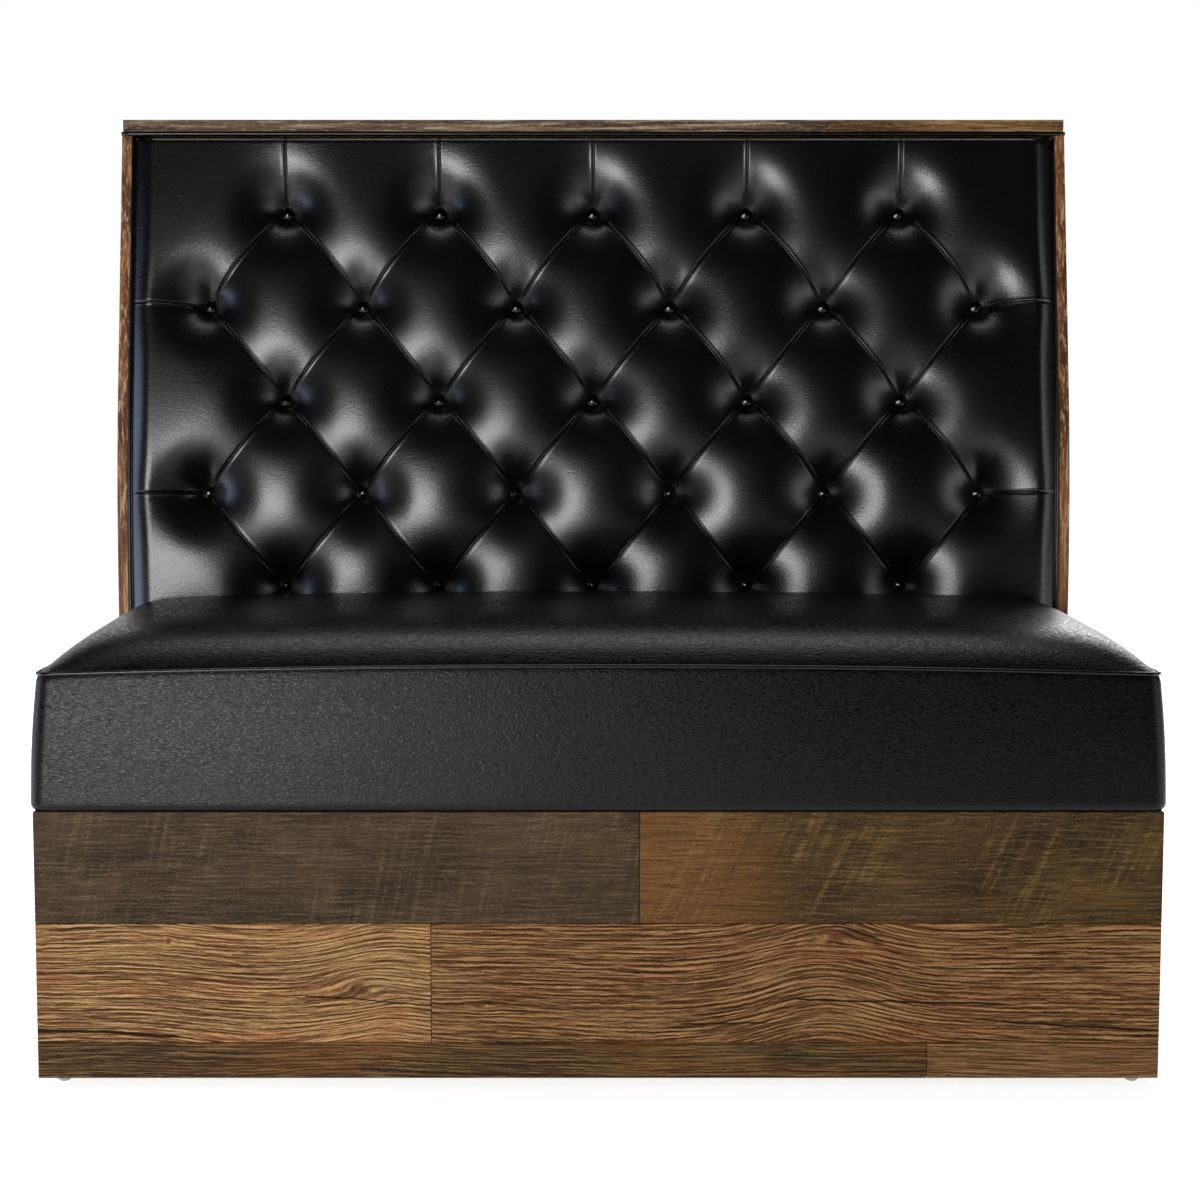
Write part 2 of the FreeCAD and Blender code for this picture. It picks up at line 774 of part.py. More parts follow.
def add_bead():
    """A round bead in front of the panel edges, with a lip nailed under the cap."""
    radius = size["bead_radius"]
    reach = (radius + size["fit_gap"] + radius * sine(RECLINE_ANGLE)) / cosine(RECLINE_ANGLE)
    y = cap_front() + size["cap_overhang"] - reach
    roll = document.addObject("Part::Cylinder", "bead_roll")
    roll.Placement = at(0, 0, 0, FreeCAD.Vector(1, 0, 0))
    bind(roll, "Radius", radius)
    bind(roll, "Height", size["plinth_width"])
    place(roll, -HALF_PLINTH, y, CAP_BOTTOM - radius)
    lip = block("bead_lip", (-INNER_HALF, INNER_HALF), (y, y + size["bead_lip_depth"]),
                (CAP_BOTTOM - size["bead_lip_thickness"], CAP_BOTTOM))
    bead = document.addObject("Part::Fuse", "cap_bead")
    bead.Base = roll
    bead.Tool = lip
    keep("cap_bead", bead)


# Tufted pad

def row_height(row):
    """Height of a button row, counted down from the first."""
    return float(TOP_ROW) - (row - 1) * float(ROW_PITCH)


def button_spots():
    """The row and X of each button: odd rows on the whole columns, even rows between them."""
    pitch = float(COLUMN_PITCH)
    spots = []
    for row in range(1, ROW_COUNT + 1):
        columns = ODD_COLUMNS if row % 2 else EVEN_COLUMNS
        spots += [(row, column * pitch) for column in columns]
    return spots


def pad_side():
    """Half the width of the pad, clear of the welts."""
    return float(INNER_HALF - size["welt_radius"] * 2 - size["fit_gap"] * 2)


def quarter_round(share):
    """How high a pillow stands over its valley, from none at 0 to all at 1."""
    return math.sqrt(max(1 - (1 - share) ** 2, 0.0))


PILLOW_STEP_SHARES = (0, 1 / 3, 2 / 3, 1)
SIDE_STEP_SHARES = (0, 0.4, 0.8, 1)
LOW_PILLOW_SHARE = 1 / 3
TOP_CROWN_SHARE = 0.15
END_CROWN_SHARE = 0.5
BOTTOM_CROWN_SHARE = 0.2


def pad_sections():
    """Where the pad is cut across: X, the share of the way from odd to even column, and to the side."""
    pitch = float(COLUMN_PITCH)
    seat = float(size["button_seat_width"]) / 2
    reach = pitch / 2 - 2 * seat
    sections = []
    for column in ODD_COLUMNS:
        for step in reversed(PILLOW_STEP_SHARES):
            sections.append((column * pitch - seat - step * reach, step, 0))
        for step in PILLOW_STEP_SHARES:
            sections.append((column * pitch + seat + step * reach, step, 0))
    last = EVEN_COLUMNS[-1] * pitch + seat
    for step in SIDE_STEP_SHARES:
        x = last + step * (pad_side() - last)
        sections.append((x, 1, step))
        sections.insert(0, (-x, 1, step))
    return sections


def pad_front(step, side):
    """The pad's front from top to bottom: corner heights and prouds, with the bulge of each span."""
    pit = float(size["pit_depth"])
    proud = float(size["pillow_proud"])
    seat = float(size["button_seat_height"]) / 2
    pitch = float(ROW_PITCH)
    fold = (pit - float(size["pleat_depth"])) * math.sin(math.pi * step)
    edge = -float(size["pad_side_tuck"])
    fade = math.cos(math.pi / 2 * side) ** 0.5 if side < 1 else 0.0

    def sided(height):
        """A height that runs out to the side's edge, staying full until near it."""
        return edge + (height - edge) * fade

    def valley(height):
        """A pleat's height, which climbs evenly to the side's edge."""
        return height + (edge - height) * side

    travel = seat + step * (pitch - 2 * seat)
    floor = valley(-pit + fold)
    odd = sided(-pit + (proud + pit) * quarter_round(1 - step))
    even = sided(-pit + (proud + pit) * quarter_round(step))
    low = sided(-pit + (proud * LOW_PILLOW_SHARE + pit) * quarter_round(step))
    first, third, fifth = row_height(1), row_height(3), row_height(5)
    corners = [
        (float(PAD_TOP), edge),
        (first + seat, even),
        (first - travel, floor),
        (third + travel, floor),
        (third - travel, floor),
        (fifth + travel, floor),
        (fifth - seat, low),
        (float(PAD_BOTTOM), -float(size["pad_bottom_tuck"])),
    ]
    flat = float(size["pad_edge_bulge"]) * (1 - fade)
    top_share = TOP_CROWN_SHARE + (1 - TOP_CROWN_SHARE) * quarter_round(step)
    crown = [
        float(size["pad_top_bulge"]) * top_share * fade,
        (even - floor) * END_CROWN_SHARE * step + flat,
        odd - floor,
        even - floor,
        odd - floor,
        (low - floor) * END_CROWN_SHARE * step + flat,
        float(size["pad_bottom_tuck"]) * BOTTOM_CROWN_SHARE * fade,
    ]
    return corners, crown


def front_edges(x, step, side, skin):
    """The pad's front across one section, sunk by a skin's thickness, from top to bottom."""
    corners, crown = pad_front(step, side)
    least_bulge = float(size["fit_gap"])
    edges = []
    for (high, start), (low, end), bulge in zip(corners, corners[1:], crown):
        first = off_edge(high, start - skin)
        last = off_edge(low, end - skin)
        middle = off_edge((high + low) / 2, (start + end) / 2 + bulge - skin)
        for point in (first, middle, last):
            point.x = x
        if bulge > least_bulge:
            edges.append(Part.Arc(first, middle, last).toShape())
        else:
            edges.append(Part.makeLine(first, last))
    return edges


def tie_bores(radius):
    """A straight bore through the pad and the board at each button."""
    reach = float(BOARD_DEPTH + size["tuft_board_thickness"] + size["pillow_proud"]) * 2
    bore = Part.makeCylinder(radius, reach, FreeCAD.Vector(0, 0, -reach / 2))
    return copies(bore, [button_place(row, x, 0) for row, x in button_spots()])


def button_place(row, x, proud):
    """A place at a button, its Z axis pointing out of the pad."""
    height = row_height(row)
    point = off_edge(height, proud)
    lean = lean_at(height)
    outward = FreeCAD.Vector(0, -math.cos(lean), math.sin(lean))
    return at(x, point.y, point.z, outward)


def add_pad():
    skin = float(size["skin_thickness"])
    gap = float(size["fit_gap"])
    back_depth = BOARD_DEPTH - size["fit_gap"]
    covers = []
    foams = []
    for x, step, side in pad_sections():
        outer = front_edges(x, step, side, 0)
        inner = front_edges(x, step, side, skin)
        foam = front_edges(x, step, side, skin + gap)
        covers.append(closed_between(outer, inner))
        foams.append(closed_between(foam, back_edges(x, back_depth)))
    bores = tie_bores(float(size["tie_radius"]) + gap)
    cover = Part.makeLoft(covers, True, True).cut(bores)
    foam = Part.makeLoft(foams, True, True).cut(bores)
    keep("back_cover", shaped("back_cover", cover))
    keep("back_foam", shaped("back_foam", foam))


def back_edges(x, depth):
    """The pad's flat back against the board across one section, from top to bottom."""
    edges = curve_wire(depth, PAD_BOTTOM, PAD_TOP)
    for edge in edges:
        edge.translate(FreeCAD.Vector(x, 0, 0))
    return list(reversed(edges))


def closed_between(front, back):
    """A closed wire from two runs of edges that both go from top to bottom."""
    front_top, front_bottom = run_ends(front)
    back_top, back_bottom = run_ends(back)
    edges = front + [Part.makeLine(front_bottom, back_bottom)] + back[::-1]
    edges.append(Part.makeLine(back_top, front_top))
    return Part.Wire(Part.__sortEdges__(edges))


def run_ends(edges):
    points = [vertex.Point for edge in (edges[0], edges[-1]) for vertex in edge.Vertexes]
    return max(points, key=lambda point: point.z), min(points, key=lambda point: point.z)


def add_buttons():
    rim = size["button_rim"]
    depth = size["button_thickness"]
    button = turned("button_pattern", [
        (ZERO, ZERO),
        (size["button_radius"] - rim, ZERO),
        (size["button_radius"], rim),
        (rim, depth),
        (ZERO, depth),
    ], {2: (size["button_radius"] * 2, -1)})
    seat = -float(size["pit_depth"]) + float(size["fit_gap"])
    spots = [button_place(row, x, seat) for row, x in button_spots()]
    keep("tuft_buttons", shaped("tuft_buttons", copies(button.Shape, spots)))
    board_back = float(RIB_DEPTH)
    tie_back = -board_back - float(size["fit_gap"])
    tie = Part.makeCylinder(float(size["tie_radius"]), seat - tie_back)
    backs = [button_place(row, x, tie_back) for row, x in button_spots()]
    keep("tuft_ties", shaped("tuft_ties", copies(tie, backs)))
    thickness = float(size["anchor_thickness"])
    anchor = Part.makeCylinder(float(size["anchor_radius"]), thickness)
    behind = [button_place(row, x, tie_back - thickness) for row, x in button_spots()]
    keep("tie_anchors", shaped("tie_anchors", copies(anchor, behind)))


def add_tuft_board():
    front, front_radius = curve_corners(BOARD_DEPTH, DECK_TOP, PAD_TOP)
    back, back_radius = curve_corners(RIB_DEPTH, DECK_TOP, PAD_TOP)
    corners = front + back[::-1]
    board = cut_from_board("tuft_board_blank", corners, INNER_HALF * 2, -INNER_HALF,
                           {1: (front_radius, 1), 5: (back_radius, -1)})
    bores = shaped("tuft_board_bores", tie_bores(float(size["tie_radius"]) + float(size["fit_gap"])))
    keep("tuft_board", drilled("tuft_board", board, bores))


def add_back_welts():
    """A round welt that fills the joint between the pad and each end panel."""
    radius = float(size["welt_radius"])
    path = Part.Wire(curve_wire(size["welt_radius"] / 2, PAD_BOTTOM, PAD_TOP))
    start = path.Edges[0].Vertexes[0].Point
    ring = Part.Wire(Part.makeCircle(radius, start, FreeCAD.Vector(0, 0, 1)))
    tube = path.makePipeShell([ring], True, False)
    x = float(INNER_HALF - size["welt_radius"] - size["fit_gap"])
    for side, shift in (("left", -x), ("right", x)):
        welt = tube.copy()
        welt.translate(FreeCAD.Vector(shift, 0, 0))
        keep(f"back_welt_{side}", shaped(f"back_welt_{side}", welt))


# Seat cushion

SEAT_SECTION_SHARES = (0, 0.33, 0.66, 0.86, 0.945, 0.982, 1)
CROWN_POWER = 8


def seat_sections(inset):
    """Where the cushion is cut across: X, how far it has sunk to its seam, and if it is the foot of a side."""
    foot = float(CUSHION_HALF) - inset
    seam = foot - float(size["boxing_lean_side"])
    right = [(share * seam, share, False) for share in SEAT_SECTION_SHARES] + [(foot, 1, True)]
    left = [(-x, share, low) for x, share, low in right[:0:-1]]
    return left + right


def seat_section(x, share, low, inset, bottom):
    """The cushion's outline in one YZ plane, drawn in on all sides by an inset."""
    front = float(CUSHION_FRONT) + inset + corner_setback(abs(x) + inset)
    rear = float(CUSHION_REAR) - inset
    edge_round = float(size["cushion_edge_round"]) - inset
    fullness = 1 - share ** CROWN_POWER
    seam_climb = float(size["seam_height"]) + float(size["seam_rise"]) * (1 - share ** 2)
    seam = float(BASE_TOP) + seam_climb - inset
    rise = float(size["crown_height"]) * math.sqrt(max(fullness, 0.0))
    crown = float(BASE_TOP + size["seam_height"]) + rise - inset
    shoulder = float(PLANK_FACE + size["crown_shoulder_depth"])
    lowest = seam + float(size["fit_gap"])
    shoulder_height = max(crown - float(size["crown_shoulder_drop"]), lowest)
    lean = float(size["boxing_lean_front"])
    rear_height = max(crown - float(size["crown_rear_drop"]), lowest)
    boxing_bulge = float(size["boxing_bulge"])
    bulge = float(size["crown_front_bulge"]) * fullness
    top_bulge = float(size["crown_top_bulge"]) * fullness
    if low:
        seam = shoulder_height = rear_height = float(BASE_TOP) + edge_round * 2
        lean = float(size["boxing_lean_front"]) * edge_round / float(size["seam_height"])
        boxing_bulge = bulge = top_bulge = 0
    corners = [
        (rear, bottom),
        (front + edge_round, bottom),
        (front, bottom + edge_round),
        (front + lean, seam),
        (shoulder, shoulder_height),
        (rear, rear_height),
    ]
    points = [FreeCAD.Vector(x, y, z) for y, z in corners]
    inward = edge_round * (1 - math.sqrt(0.5))
    fillet_middle = FreeCAD.Vector(x, front + inward, bottom + inward)
    edges = [
        Part.makeLine(points[0], points[1]),
        Part.Arc(points[1], fillet_middle, points[2]).toShape(),
        bowed(points[2], points[3], -boxing_bulge, 0),
        bowed(points[3], points[4], 0, bulge),
        bowed(points[4], points[5], 0, top_bulge),
        Part.makeLine(points[5], points[0]),
    ]
    return Part.Wire(edges)


def bowed(start, end, forward, upward):
    """An arc between two points whose middle is pushed along Y and Z, or a line if it isn't."""
    if abs(forward) + abs(upward) < float(size["fit_gap"]):
        return Part.makeLine(start, end)
    middle = (start + end) * 0.5 + FreeCAD.Vector(0, forward, upward)
    return Part.Arc(start, middle, end).toShape()


def corner_setback(x):
    """How far the rounded corner draws the front back at a distance from the middle."""
    radius = float(size["cushion_corner_radius"])
    into = max(x - (float(CUSHION_HALF) - radius), 0.0)
    return radius - math.sqrt(max(radius ** 2 - into ** 2, 0.0))


def seat_form(inset, bottom):
    return Part.makeLoft([seat_section(x, share, low, inset, bottom)
                          for x, share, low in seat_sections(inset)], True, True)


def add_seat_cover():
    skin = float(size["skin_thickness"])
    hem = float(size["hem_width"])
    bottom = float(BASE_TOP)
    over = float(size["cut_overrun"])
    outer = seat_form(0, bottom)
    inner = seat_form(skin, bottom + skin)
    half = float(CUSHION_HALF) - hem
    front = float(CUSHION_FRONT) + hem
    rear = float(CUSHION_REAR) - hem
    window = Part.makeBox(half * 2, rear - front, skin + over * 2,
                          FreeCAD.Vector(-half, front, bottom - over))
    keep("seat_cover", shaped("seat_cover", outer.cut(inner).cut(window)))


def add_seat_foam():
    inset = float(size["skin_thickness"] + size["fit_gap"])
    form = seat_form(inset, float(BASE_TOP) + inset)
    low = float(foam_bottom())
    under = Part.makeBox(float(size["plinth_width"]) * 2, float(size["bench_depth"]) * 2, low,
                         FreeCAD.Vector(-float(size["plinth_width"]), -float(size["bench_depth"]), 0))
    keep("seat_foam", shaped("seat_foam", form.cut(under)))


def frame_bottom():
    return BASE_TOP + size["skin_thickness"]


def frame_top():
    return frame_bottom() + size["frame_rail_height"]


def spring_height():
    return frame_top() + size["spring_wire_radius"] + size["fit_gap"]


def felt_bottom():
    return spring_height() + size["spring_wire_radius"] + size["fit_gap"] + size["clip_thickness"]


def foam_bottom():
    return felt_bottom() + size["felt_thickness"] + size["fit_gap"]


def add_seat_frame():
    half = SEAT_FRAME_HALF
    front = SEAT_FRAME_FRONT
    rear = SEAT_FRAME_REAR
    width = size["frame_rail_width"]
    z_span = (frame_bottom(), frame_top())
    keep("seat_rail_front", block("seat_rail_front", (-half, half), (front, front + width), z_span))
    keep("seat_rail_rear", block("seat_rail_rear", (-half, half), (rear - width, rear), z_span))
    for side in ("left", "right"):
        name = f"seat_rail_{side}"
        rail = block(name + "_blank", both_sides((half - width, half), side),
                     (front + width, rear - width), z_span)
        holes = shaped(name + "_holes", copies(seat_screw_hole(), seat_screw_places()))
        keep(name, drilled(name, rail, holes))
    add_screws("seat_screws", size["fixing_block_height"], size["seat_screw_bite"], seat_screw_places())
    felt_half = half - size["fit_gap"]
    keep("spring_felt", block("spring_felt", (-felt_half, felt_half), (front, rear),
                              (felt_bottom(), felt_bottom() + size["felt_thickness"])))
    hem = size["hem_width"] + size["fit_gap"]
    cloth = block("dust_cover_blank", (hem - CUSHION_HALF, CUSHION_HALF - hem),
                  (CUSHION_FRONT + hem, CUSHION_REAR - hem), (BASE_TOP, frame_bottom()))
    cloth_holes = shaped("dust_cover_holes", copies(seat_screw_hole(), seat_screw_places()))
    keep("dust_cover", drilled("dust_cover", cloth, cloth_holes))


def seat_screw_hole():
    """The narrow hole that a seat screw takes above its block."""
    gap = float(size["screw_clearance"])
    reach = float(size["fixing_block_height"] + size["seat_screw_bite"]) + gap
    return Part.makeCylinder(float(size["screw_radius"]) + gap, reach)


def spring_path():
    """A flat snake of cross bars joined by turns, from front to rear."""
    front = float(SEAT_FRAME_FRONT + size["frame_rail_width"] / 2)
    rear = float(SEAT_FRAME_REAR - size["frame_rail_width"] / 2)
    turn = (rear - front) / (SPRING_BAR_COUNT - 1) / 2
    half = float(size["spring_half_width"]) - turn
    height = float(spring_height())
    edges = []
    for bar in range(SPRING_BAR_COUNT):
        side = 1 if bar % 2 else -1
        y = front + bar * turn * 2
        start = FreeCAD.Vector(-half * -side, y, height)
        end = FreeCAD.Vector(half * -side, y, height)
        edges.append(Part.makeLine(start, end))
        if bar < SPRING_BAR_COUNT - 1:
            outer = FreeCAD.Vector((half + turn) * -side, y + turn, height)
            slant = turn * math.sqrt(0.5)
            near = FreeCAD.Vector((half + slant) * -side, y + turn - slant, height)
            far = FreeCAD.Vector((half + slant) * -side, y + turn + slant, height)
            close = FreeCAD.Vector(half * -side, y + turn * 2, height)
            edges.append(Part.Arc(end, near, outer).toShape())
            edges.append(Part.Arc(outer, far, close).toShape())
    return Part.Wire(edges)


def add_springs():
    path = spring_path()
    first = path.Edges[0]
    start = first.valueAt(first.FirstParameter)
    ring = Part.Wire(Part.makeCircle(float(size["spring_wire_radius"]), start, first.tangentAt(0)))
    wire = path.makePipeShell([ring], True, False)
    spacing = float(SEAT_FRAME_HALF) * 2 / (SPRING_COUNT + 1)
    middle = (SPRING_COUNT - 1) / 2
    spots = [at((number - middle) * spacing, 0, 0) for number in range(SPRING_COUNT)]
    keep("seat_springs", shaped("seat_springs", copies(wire, spots)))
    add_clips(spots)


def add_clips(spots):
    """A bent clip over each end bar of each spring, nailed to the rail."""
    length = float(size["clip_length"])
    wall = float(size["clip_thickness"])
    gap = float(size["fit_gap"])
    wire = float(size["spring_wire_radius"])
    low = float(frame_top())
    top = low + 2 * (wire + gap) + wall
    front = float(SEAT_FRAME_FRONT + size["frame_rail_width"] / 2)
    rear = float(SEAT_FRAME_REAR - size["frame_rail_width"] / 2)
    reach = wire + gap + wall
    solids = []
    for y, outward in ((front, -1), (rear, 1)):
        near, far = sorted((y - outward * reach, y + outward * reach))
        roof = Part.makeBox(length, far - near, wall, FreeCAD.Vector(-length / 2, near, top - wall))
        wall_y = y + outward * reach - (wall if outward > 0 else 0)
        leg = Part.makeBox(length, wall, top - low, FreeCAD.Vector(-length / 2, wall_y, low))
        foot_y = wall_y if outward > 0 else wall_y - length
        foot = Part.makeBox(length, length + wall, wall, FreeCAD.Vector(-length / 2, foot_y, low))
        solids.append(roof.fuse(leg).fuse(foot).removeSplitter())
    clips = [copies(solid, [spot]).Solids[0] for spot in spots for solid in solids]
    keep("spring_clips", shaped("spring_clips", Part.makeCompound(clips)))


def seat_welt_line():
    """The welt's path round the cushion's top edge, just outside the cover."""
    radius = float(size["seat_welt_radius"])
    gap = float(size["fit_gap"])
    stand = radius + gap
    seam_half = float(CUSHION_HALF - size["boxing_lean_side"])
    front = float(CUSHION_FRONT + size["boxing_lean_front"])
    points = []
    for x, share, low in seat_sections(0):
        if low:
            continue
        climb = float(size["seam_height"]) + float(size["seam_rise"]) * (1 - share ** 2)
        y = front + corner_setback(abs(x)) - stand
        points.append(FreeCAD.Vector(x, y, float(BASE_TOP) + climb + gap))
    rear = float(CUSHION_REAR) - radius
    side = seam_half + stand
    height = float(BASE_TOP + size["seam_height"]) + gap
    corner = front + corner_setback(seam_half) + stand
    return ([FreeCAD.Vector(-side, rear, height), FreeCAD.Vector(-side, corner, height)] + points
            + [FreeCAD.Vector(side, corner, height), FreeCAD.Vector(side, rear, height)])


def add_seat_welt():
    """A round welt, lofted through rings that stand square to its path."""
    points = seat_welt_line()
    rings = []
    for before, point, after in zip(points[:1] + points, points, points[1:] + points[-1:]):
        rings.append(Part.Wire(Part.makeCircle(float(size["seat_welt_radius"]), point, after - before)))
    keep("seat_welt", shaped("seat_welt", Part.makeLoft(rings, True, True)))


def write_parts():
    """Check every object, then write each piece to its own file."""
    document.recompute()
    failed = [item.Label for item in document.Objects if {"Invalid", "Error"} & set(item.State)]
    if failed:
        raise RuntimeError("failed objects: " + ", ".join(failed))
    os.makedirs("parts", exist_ok=True)
    for item in parts:
        if item.Shape.isNull() or not item.Shape.isValid():
            raise RuntimeError("bad shape: " + item.Label)
    for item in parts:
        item.Shape.exportStep(f"parts/{item.Label}.step")
    print(len(parts), "pieces written")


add_plinth_frame()
add_front_planks()
add_side_planks()
add_fixing_blocks()
add_feet()
add_end_panels()
add_back_frame()
add_cap()
add_bead()
add_tuft_board()
add_pad()
add_buttons()
add_back_welts()
add_seat_frame()
add_springs()
add_seat_cover()
add_seat_foam()
add_seat_welt()
write_parts()
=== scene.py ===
import math

import bpy
import numpy as np
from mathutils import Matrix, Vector, geometry


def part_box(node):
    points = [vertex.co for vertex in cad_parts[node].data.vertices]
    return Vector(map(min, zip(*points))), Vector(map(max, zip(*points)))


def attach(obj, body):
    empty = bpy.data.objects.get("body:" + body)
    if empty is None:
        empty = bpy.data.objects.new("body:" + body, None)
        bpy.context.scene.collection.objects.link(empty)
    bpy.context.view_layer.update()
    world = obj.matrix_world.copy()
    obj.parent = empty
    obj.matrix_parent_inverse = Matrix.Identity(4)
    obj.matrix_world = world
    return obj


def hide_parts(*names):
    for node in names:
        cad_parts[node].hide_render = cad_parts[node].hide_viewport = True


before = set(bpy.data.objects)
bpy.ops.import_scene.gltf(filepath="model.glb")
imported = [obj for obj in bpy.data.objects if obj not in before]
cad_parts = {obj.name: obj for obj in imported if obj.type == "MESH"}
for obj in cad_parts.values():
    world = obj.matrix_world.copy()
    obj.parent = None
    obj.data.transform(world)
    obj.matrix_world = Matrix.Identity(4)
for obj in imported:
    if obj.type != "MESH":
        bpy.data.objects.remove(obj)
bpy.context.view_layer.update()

# Lengths are in metres. The bench faces -Y, and the floor is at zero.
BENCH = "bench"

# Places of the frame's pieces
INNER_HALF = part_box("tuft_board")[1].x
PANEL_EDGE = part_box("end_panel_right")[0].y
BEAD_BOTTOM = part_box("cap_bead")[0].z
PLANK_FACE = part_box("plank_upper_left")[0].y
UPPER_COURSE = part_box("plank_upper_left")[0].z
LOWER_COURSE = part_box("plank_lower_left")[1].z
BASE_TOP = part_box("base_front_panel")[1].z
CUSHION_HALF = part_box("seat_cover")[1].x
CUSHION_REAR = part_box("seat_cover")[1].y
FOAM_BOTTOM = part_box("seat_foam")[0].z


# Shader maths

class Field:
    """A number that varies over a surface; arithmetic on it adds Math nodes."""

    def __init__(self, finish, socket):
        self.finish = finish
        self.socket = socket

    def math(self, operation, *others, swapped=False):
        """This number and others put through a Math node."""
        numbers = (self, *others)
        if swapped:
            numbers = numbers[::-1]
        node = self.finish.node("ShaderNodeMath", {"operation": operation}, dict(enumerate(numbers)))
        return Field(self.finish, node.outputs[0])

    def __add__(self, other):
        return self.math("ADD", other)

    def __sub__(self, other):
        return self.math("SUBTRACT", other)

    def __rsub__(self, other):
        return self.math("SUBTRACT", other, swapped=True)

    def __mul__(self, other):
        return self.math("MULTIPLY", other)

    def __truediv__(self, other):
        return self.math("DIVIDE", other)

    def __pow__(self, power):
        return self.math("POWER", power)

    __radd__ = __add__
    __rmul__ = __mul__

    def above(self, low, high):
        """0 below low, 1 above high and a soft step between."""
        node = self.finish.node("ShaderNodeMapRange", {"interpolation_type": "SMOOTHSTEP"},
                                {"Value": self, "From Min": low, "From Max": high})
        return Field(self.finish, node.outputs[0])

    def below(self, low, high):
        """1 below low, 0 above high and a soft step between."""
        return 1 - self.above(low, high)

    def falling(self):
        """1 at zero, falling towards nothing as the number grows."""
        return (self * -1).math("EXPONENT")

    def bell(self):
        """1 at zero, falling to nothing a few units away on both sides."""
        return (self * self).falling()

    def fraction(self):
        return self.math("FRACT")

    def size(self):
        return self.math("ABSOLUTE")


class Wiring:
    """A node tree and the ways that this script adds to it."""

    def __init__(self, tree):
        self.tree = tree
        tree.nodes.clear()

    def node(self, kind, settings=(), sockets=()):
        """Adds a node: its settings first, then the values or links of its sockets."""
        node = self.tree.nodes.new(kind)
        for name, value in dict(settings).items():
            setattr(node, name, value)
        for name, value in dict(sockets).items():
            self.feed(node.inputs[name], value)
        return node

    def feed(self, socket, value):
        value = getattr(value, "socket", value)
        if isinstance(value, bpy.types.NodeSocket):
            self.tree.links.new(value, socket)
        else:
            socket.default_value = value

    def axes(self, place):
        """X, Y and Z of a place or direction."""
        node = self.node("ShaderNodeSeparateXYZ", sockets={0: place})
        return [Field(self, output) for output in node.outputs]

    def mix(self, share, first, second):
        """A colour between two, by a share of the second."""
        node = self.node("ShaderNodeMix", {"data_type": "RGBA"}, {0: share, 6: first, 7: second})
        return node.outputs[2]

    def layered(self, tint, *layers):
        """A colour with others laid over it in turn, each by its share."""
        for share, colour in layers:
            tint = self.mix(share, tint, colour)
        return tint

    def rays(self):
        """Whether a ray comes from the camera, and whether it is a reflection or goes through glass."""
        path = self.node("ShaderNodeLightPath").outputs
        camera = Field(self, path["Is Camera Ray"])
        mirrored = Field(self, path["Is Glossy Ray"]) + Field(self, path["Is Transmission Ray"])
        return camera, mirrored


class Finish(Wiring):
    """One material: a Principled shader and the nodes that feed it."""

    def __init__(self, name, specular=0.5, metallic=0.0):
        self.material = bpy.data.materials.new(name)
        self.material.use_nodes = True
        super().__init__(self.material.node_tree)
        self.shader = self.node("ShaderNodeBsdfPrincipled")
        self.node("ShaderNodeOutputMaterial", sockets={"Surface": self.shader.outputs[0]})
        self.place = self.node("ShaderNodeTexCoord").outputs["Object"]
        self.feed(self.shader.inputs["Specular IOR Level"], specular)
        self.feed(self.shader.inputs["Metallic"], metallic)

    def point(self, x, y, z):
        return self.node("ShaderNodeCombineXYZ", sockets={0: x, 1: y, 2: z}).outputs[0]

    def stretched(self, x, y, z):
        """The surface point with each axis scaled."""
        sockets = {0: self.place, 1: (x, y, z)}
        return self.node("ShaderNodeVectorMath", {"operation": "MULTIPLY"}, sockets).outputs[0]

    def noise(self, place, scale=1.0, detail=2.0, roughness=0.5, distortion=0.0):
        node = self.node("ShaderNodeTexNoise", sockets={
            "Vector": place, "Scale": scale, "Detail": detail,
            "Roughness": roughness, "Distortion": distortion})
        return Field(self, node.outputs[0])

    def noise_at(self, x, y, z, detail, roughness=0.5):
        """Noise that varies with three numbers instead of a place."""
        return self.noise(self.point(x, y, z), detail=detail, roughness=roughness)

    def painted_relief(self, along, across, seed, step=0.4):
        """Painted light and shade along grain lines, as if lit from above: more than 0 on one side of each
        line, less on the other.
        """
        near, far = [self.noise_at(along, seed, across + shift, 3, 0.6)
                     for shift in (0, step)]
        return near - far

    def made(self, colour, roughness, height=None, strength=0.0, distance=0.0):
        """The material, with its colour and roughness and perhaps bumps by a height."""
        self.feed(self.shader.inputs["Base Color"], colour)
        self.feed(self.shader.inputs["Roughness"], roughness)
        if height is not None:
            sockets = {"Height": height, "Strength": strength, "Distance": distance}
            node = self.node("ShaderNodeBump", sockets=sockets)
            self.feed(self.shader.inputs["Normal"], node.outputs[0])
        return self.material


def tone(red, green, blue):
    """A colour given in screen values from 0 to 255."""
    linear = [((v / 255 + 0.055) / 1.055) ** 2.4 if v > 10 else v / 255 / 12.92 for v in (red, green, blue)]
    return (*linear, 1.0)


# Vinyl

def vinyl(name, roughness, gloss=0.36, grain=1.0, dull=0.0):
    """Black vinyl: fine pebbles and small wrinkles that lie level, perhaps with duller creases."""
    finish = Finish(name, specular=gloss)
    wrinkles = finish.noise(finish.stretched(130, 130, 400), detail=2, roughness=0.5, distortion=0.6)
    pebbles = finish.noise(finish.stretched(400, 400, 560), detail=2, roughness=0.6)
    patches = finish.noise(finish.place, scale=7, detail=2)
    tint = finish.mix(patches, tone(2, 2, 3), tone(5, 5, 6))
    shine = pebbles * 0.08 + patches * 0.05 + (roughness - 0.065)
    if dull:
        creases = finish.noise(finish.stretched(230, 230, 640), detail=3, roughness=0.6, distortion=0.5)
        shine = shine + (0.5 - creases) * dull
    return finish.made(tint, shine, wrinkles * 0.8 + pebbles * 0.7, 0.6, 0.0003 * grain)


# Wood

GRAIN_WANDER = 0.03
KNOT_HEART = (0.3, 0.36)
SAWN_MIDDLE = 0.235
COURSE_BLUR = 0.0003


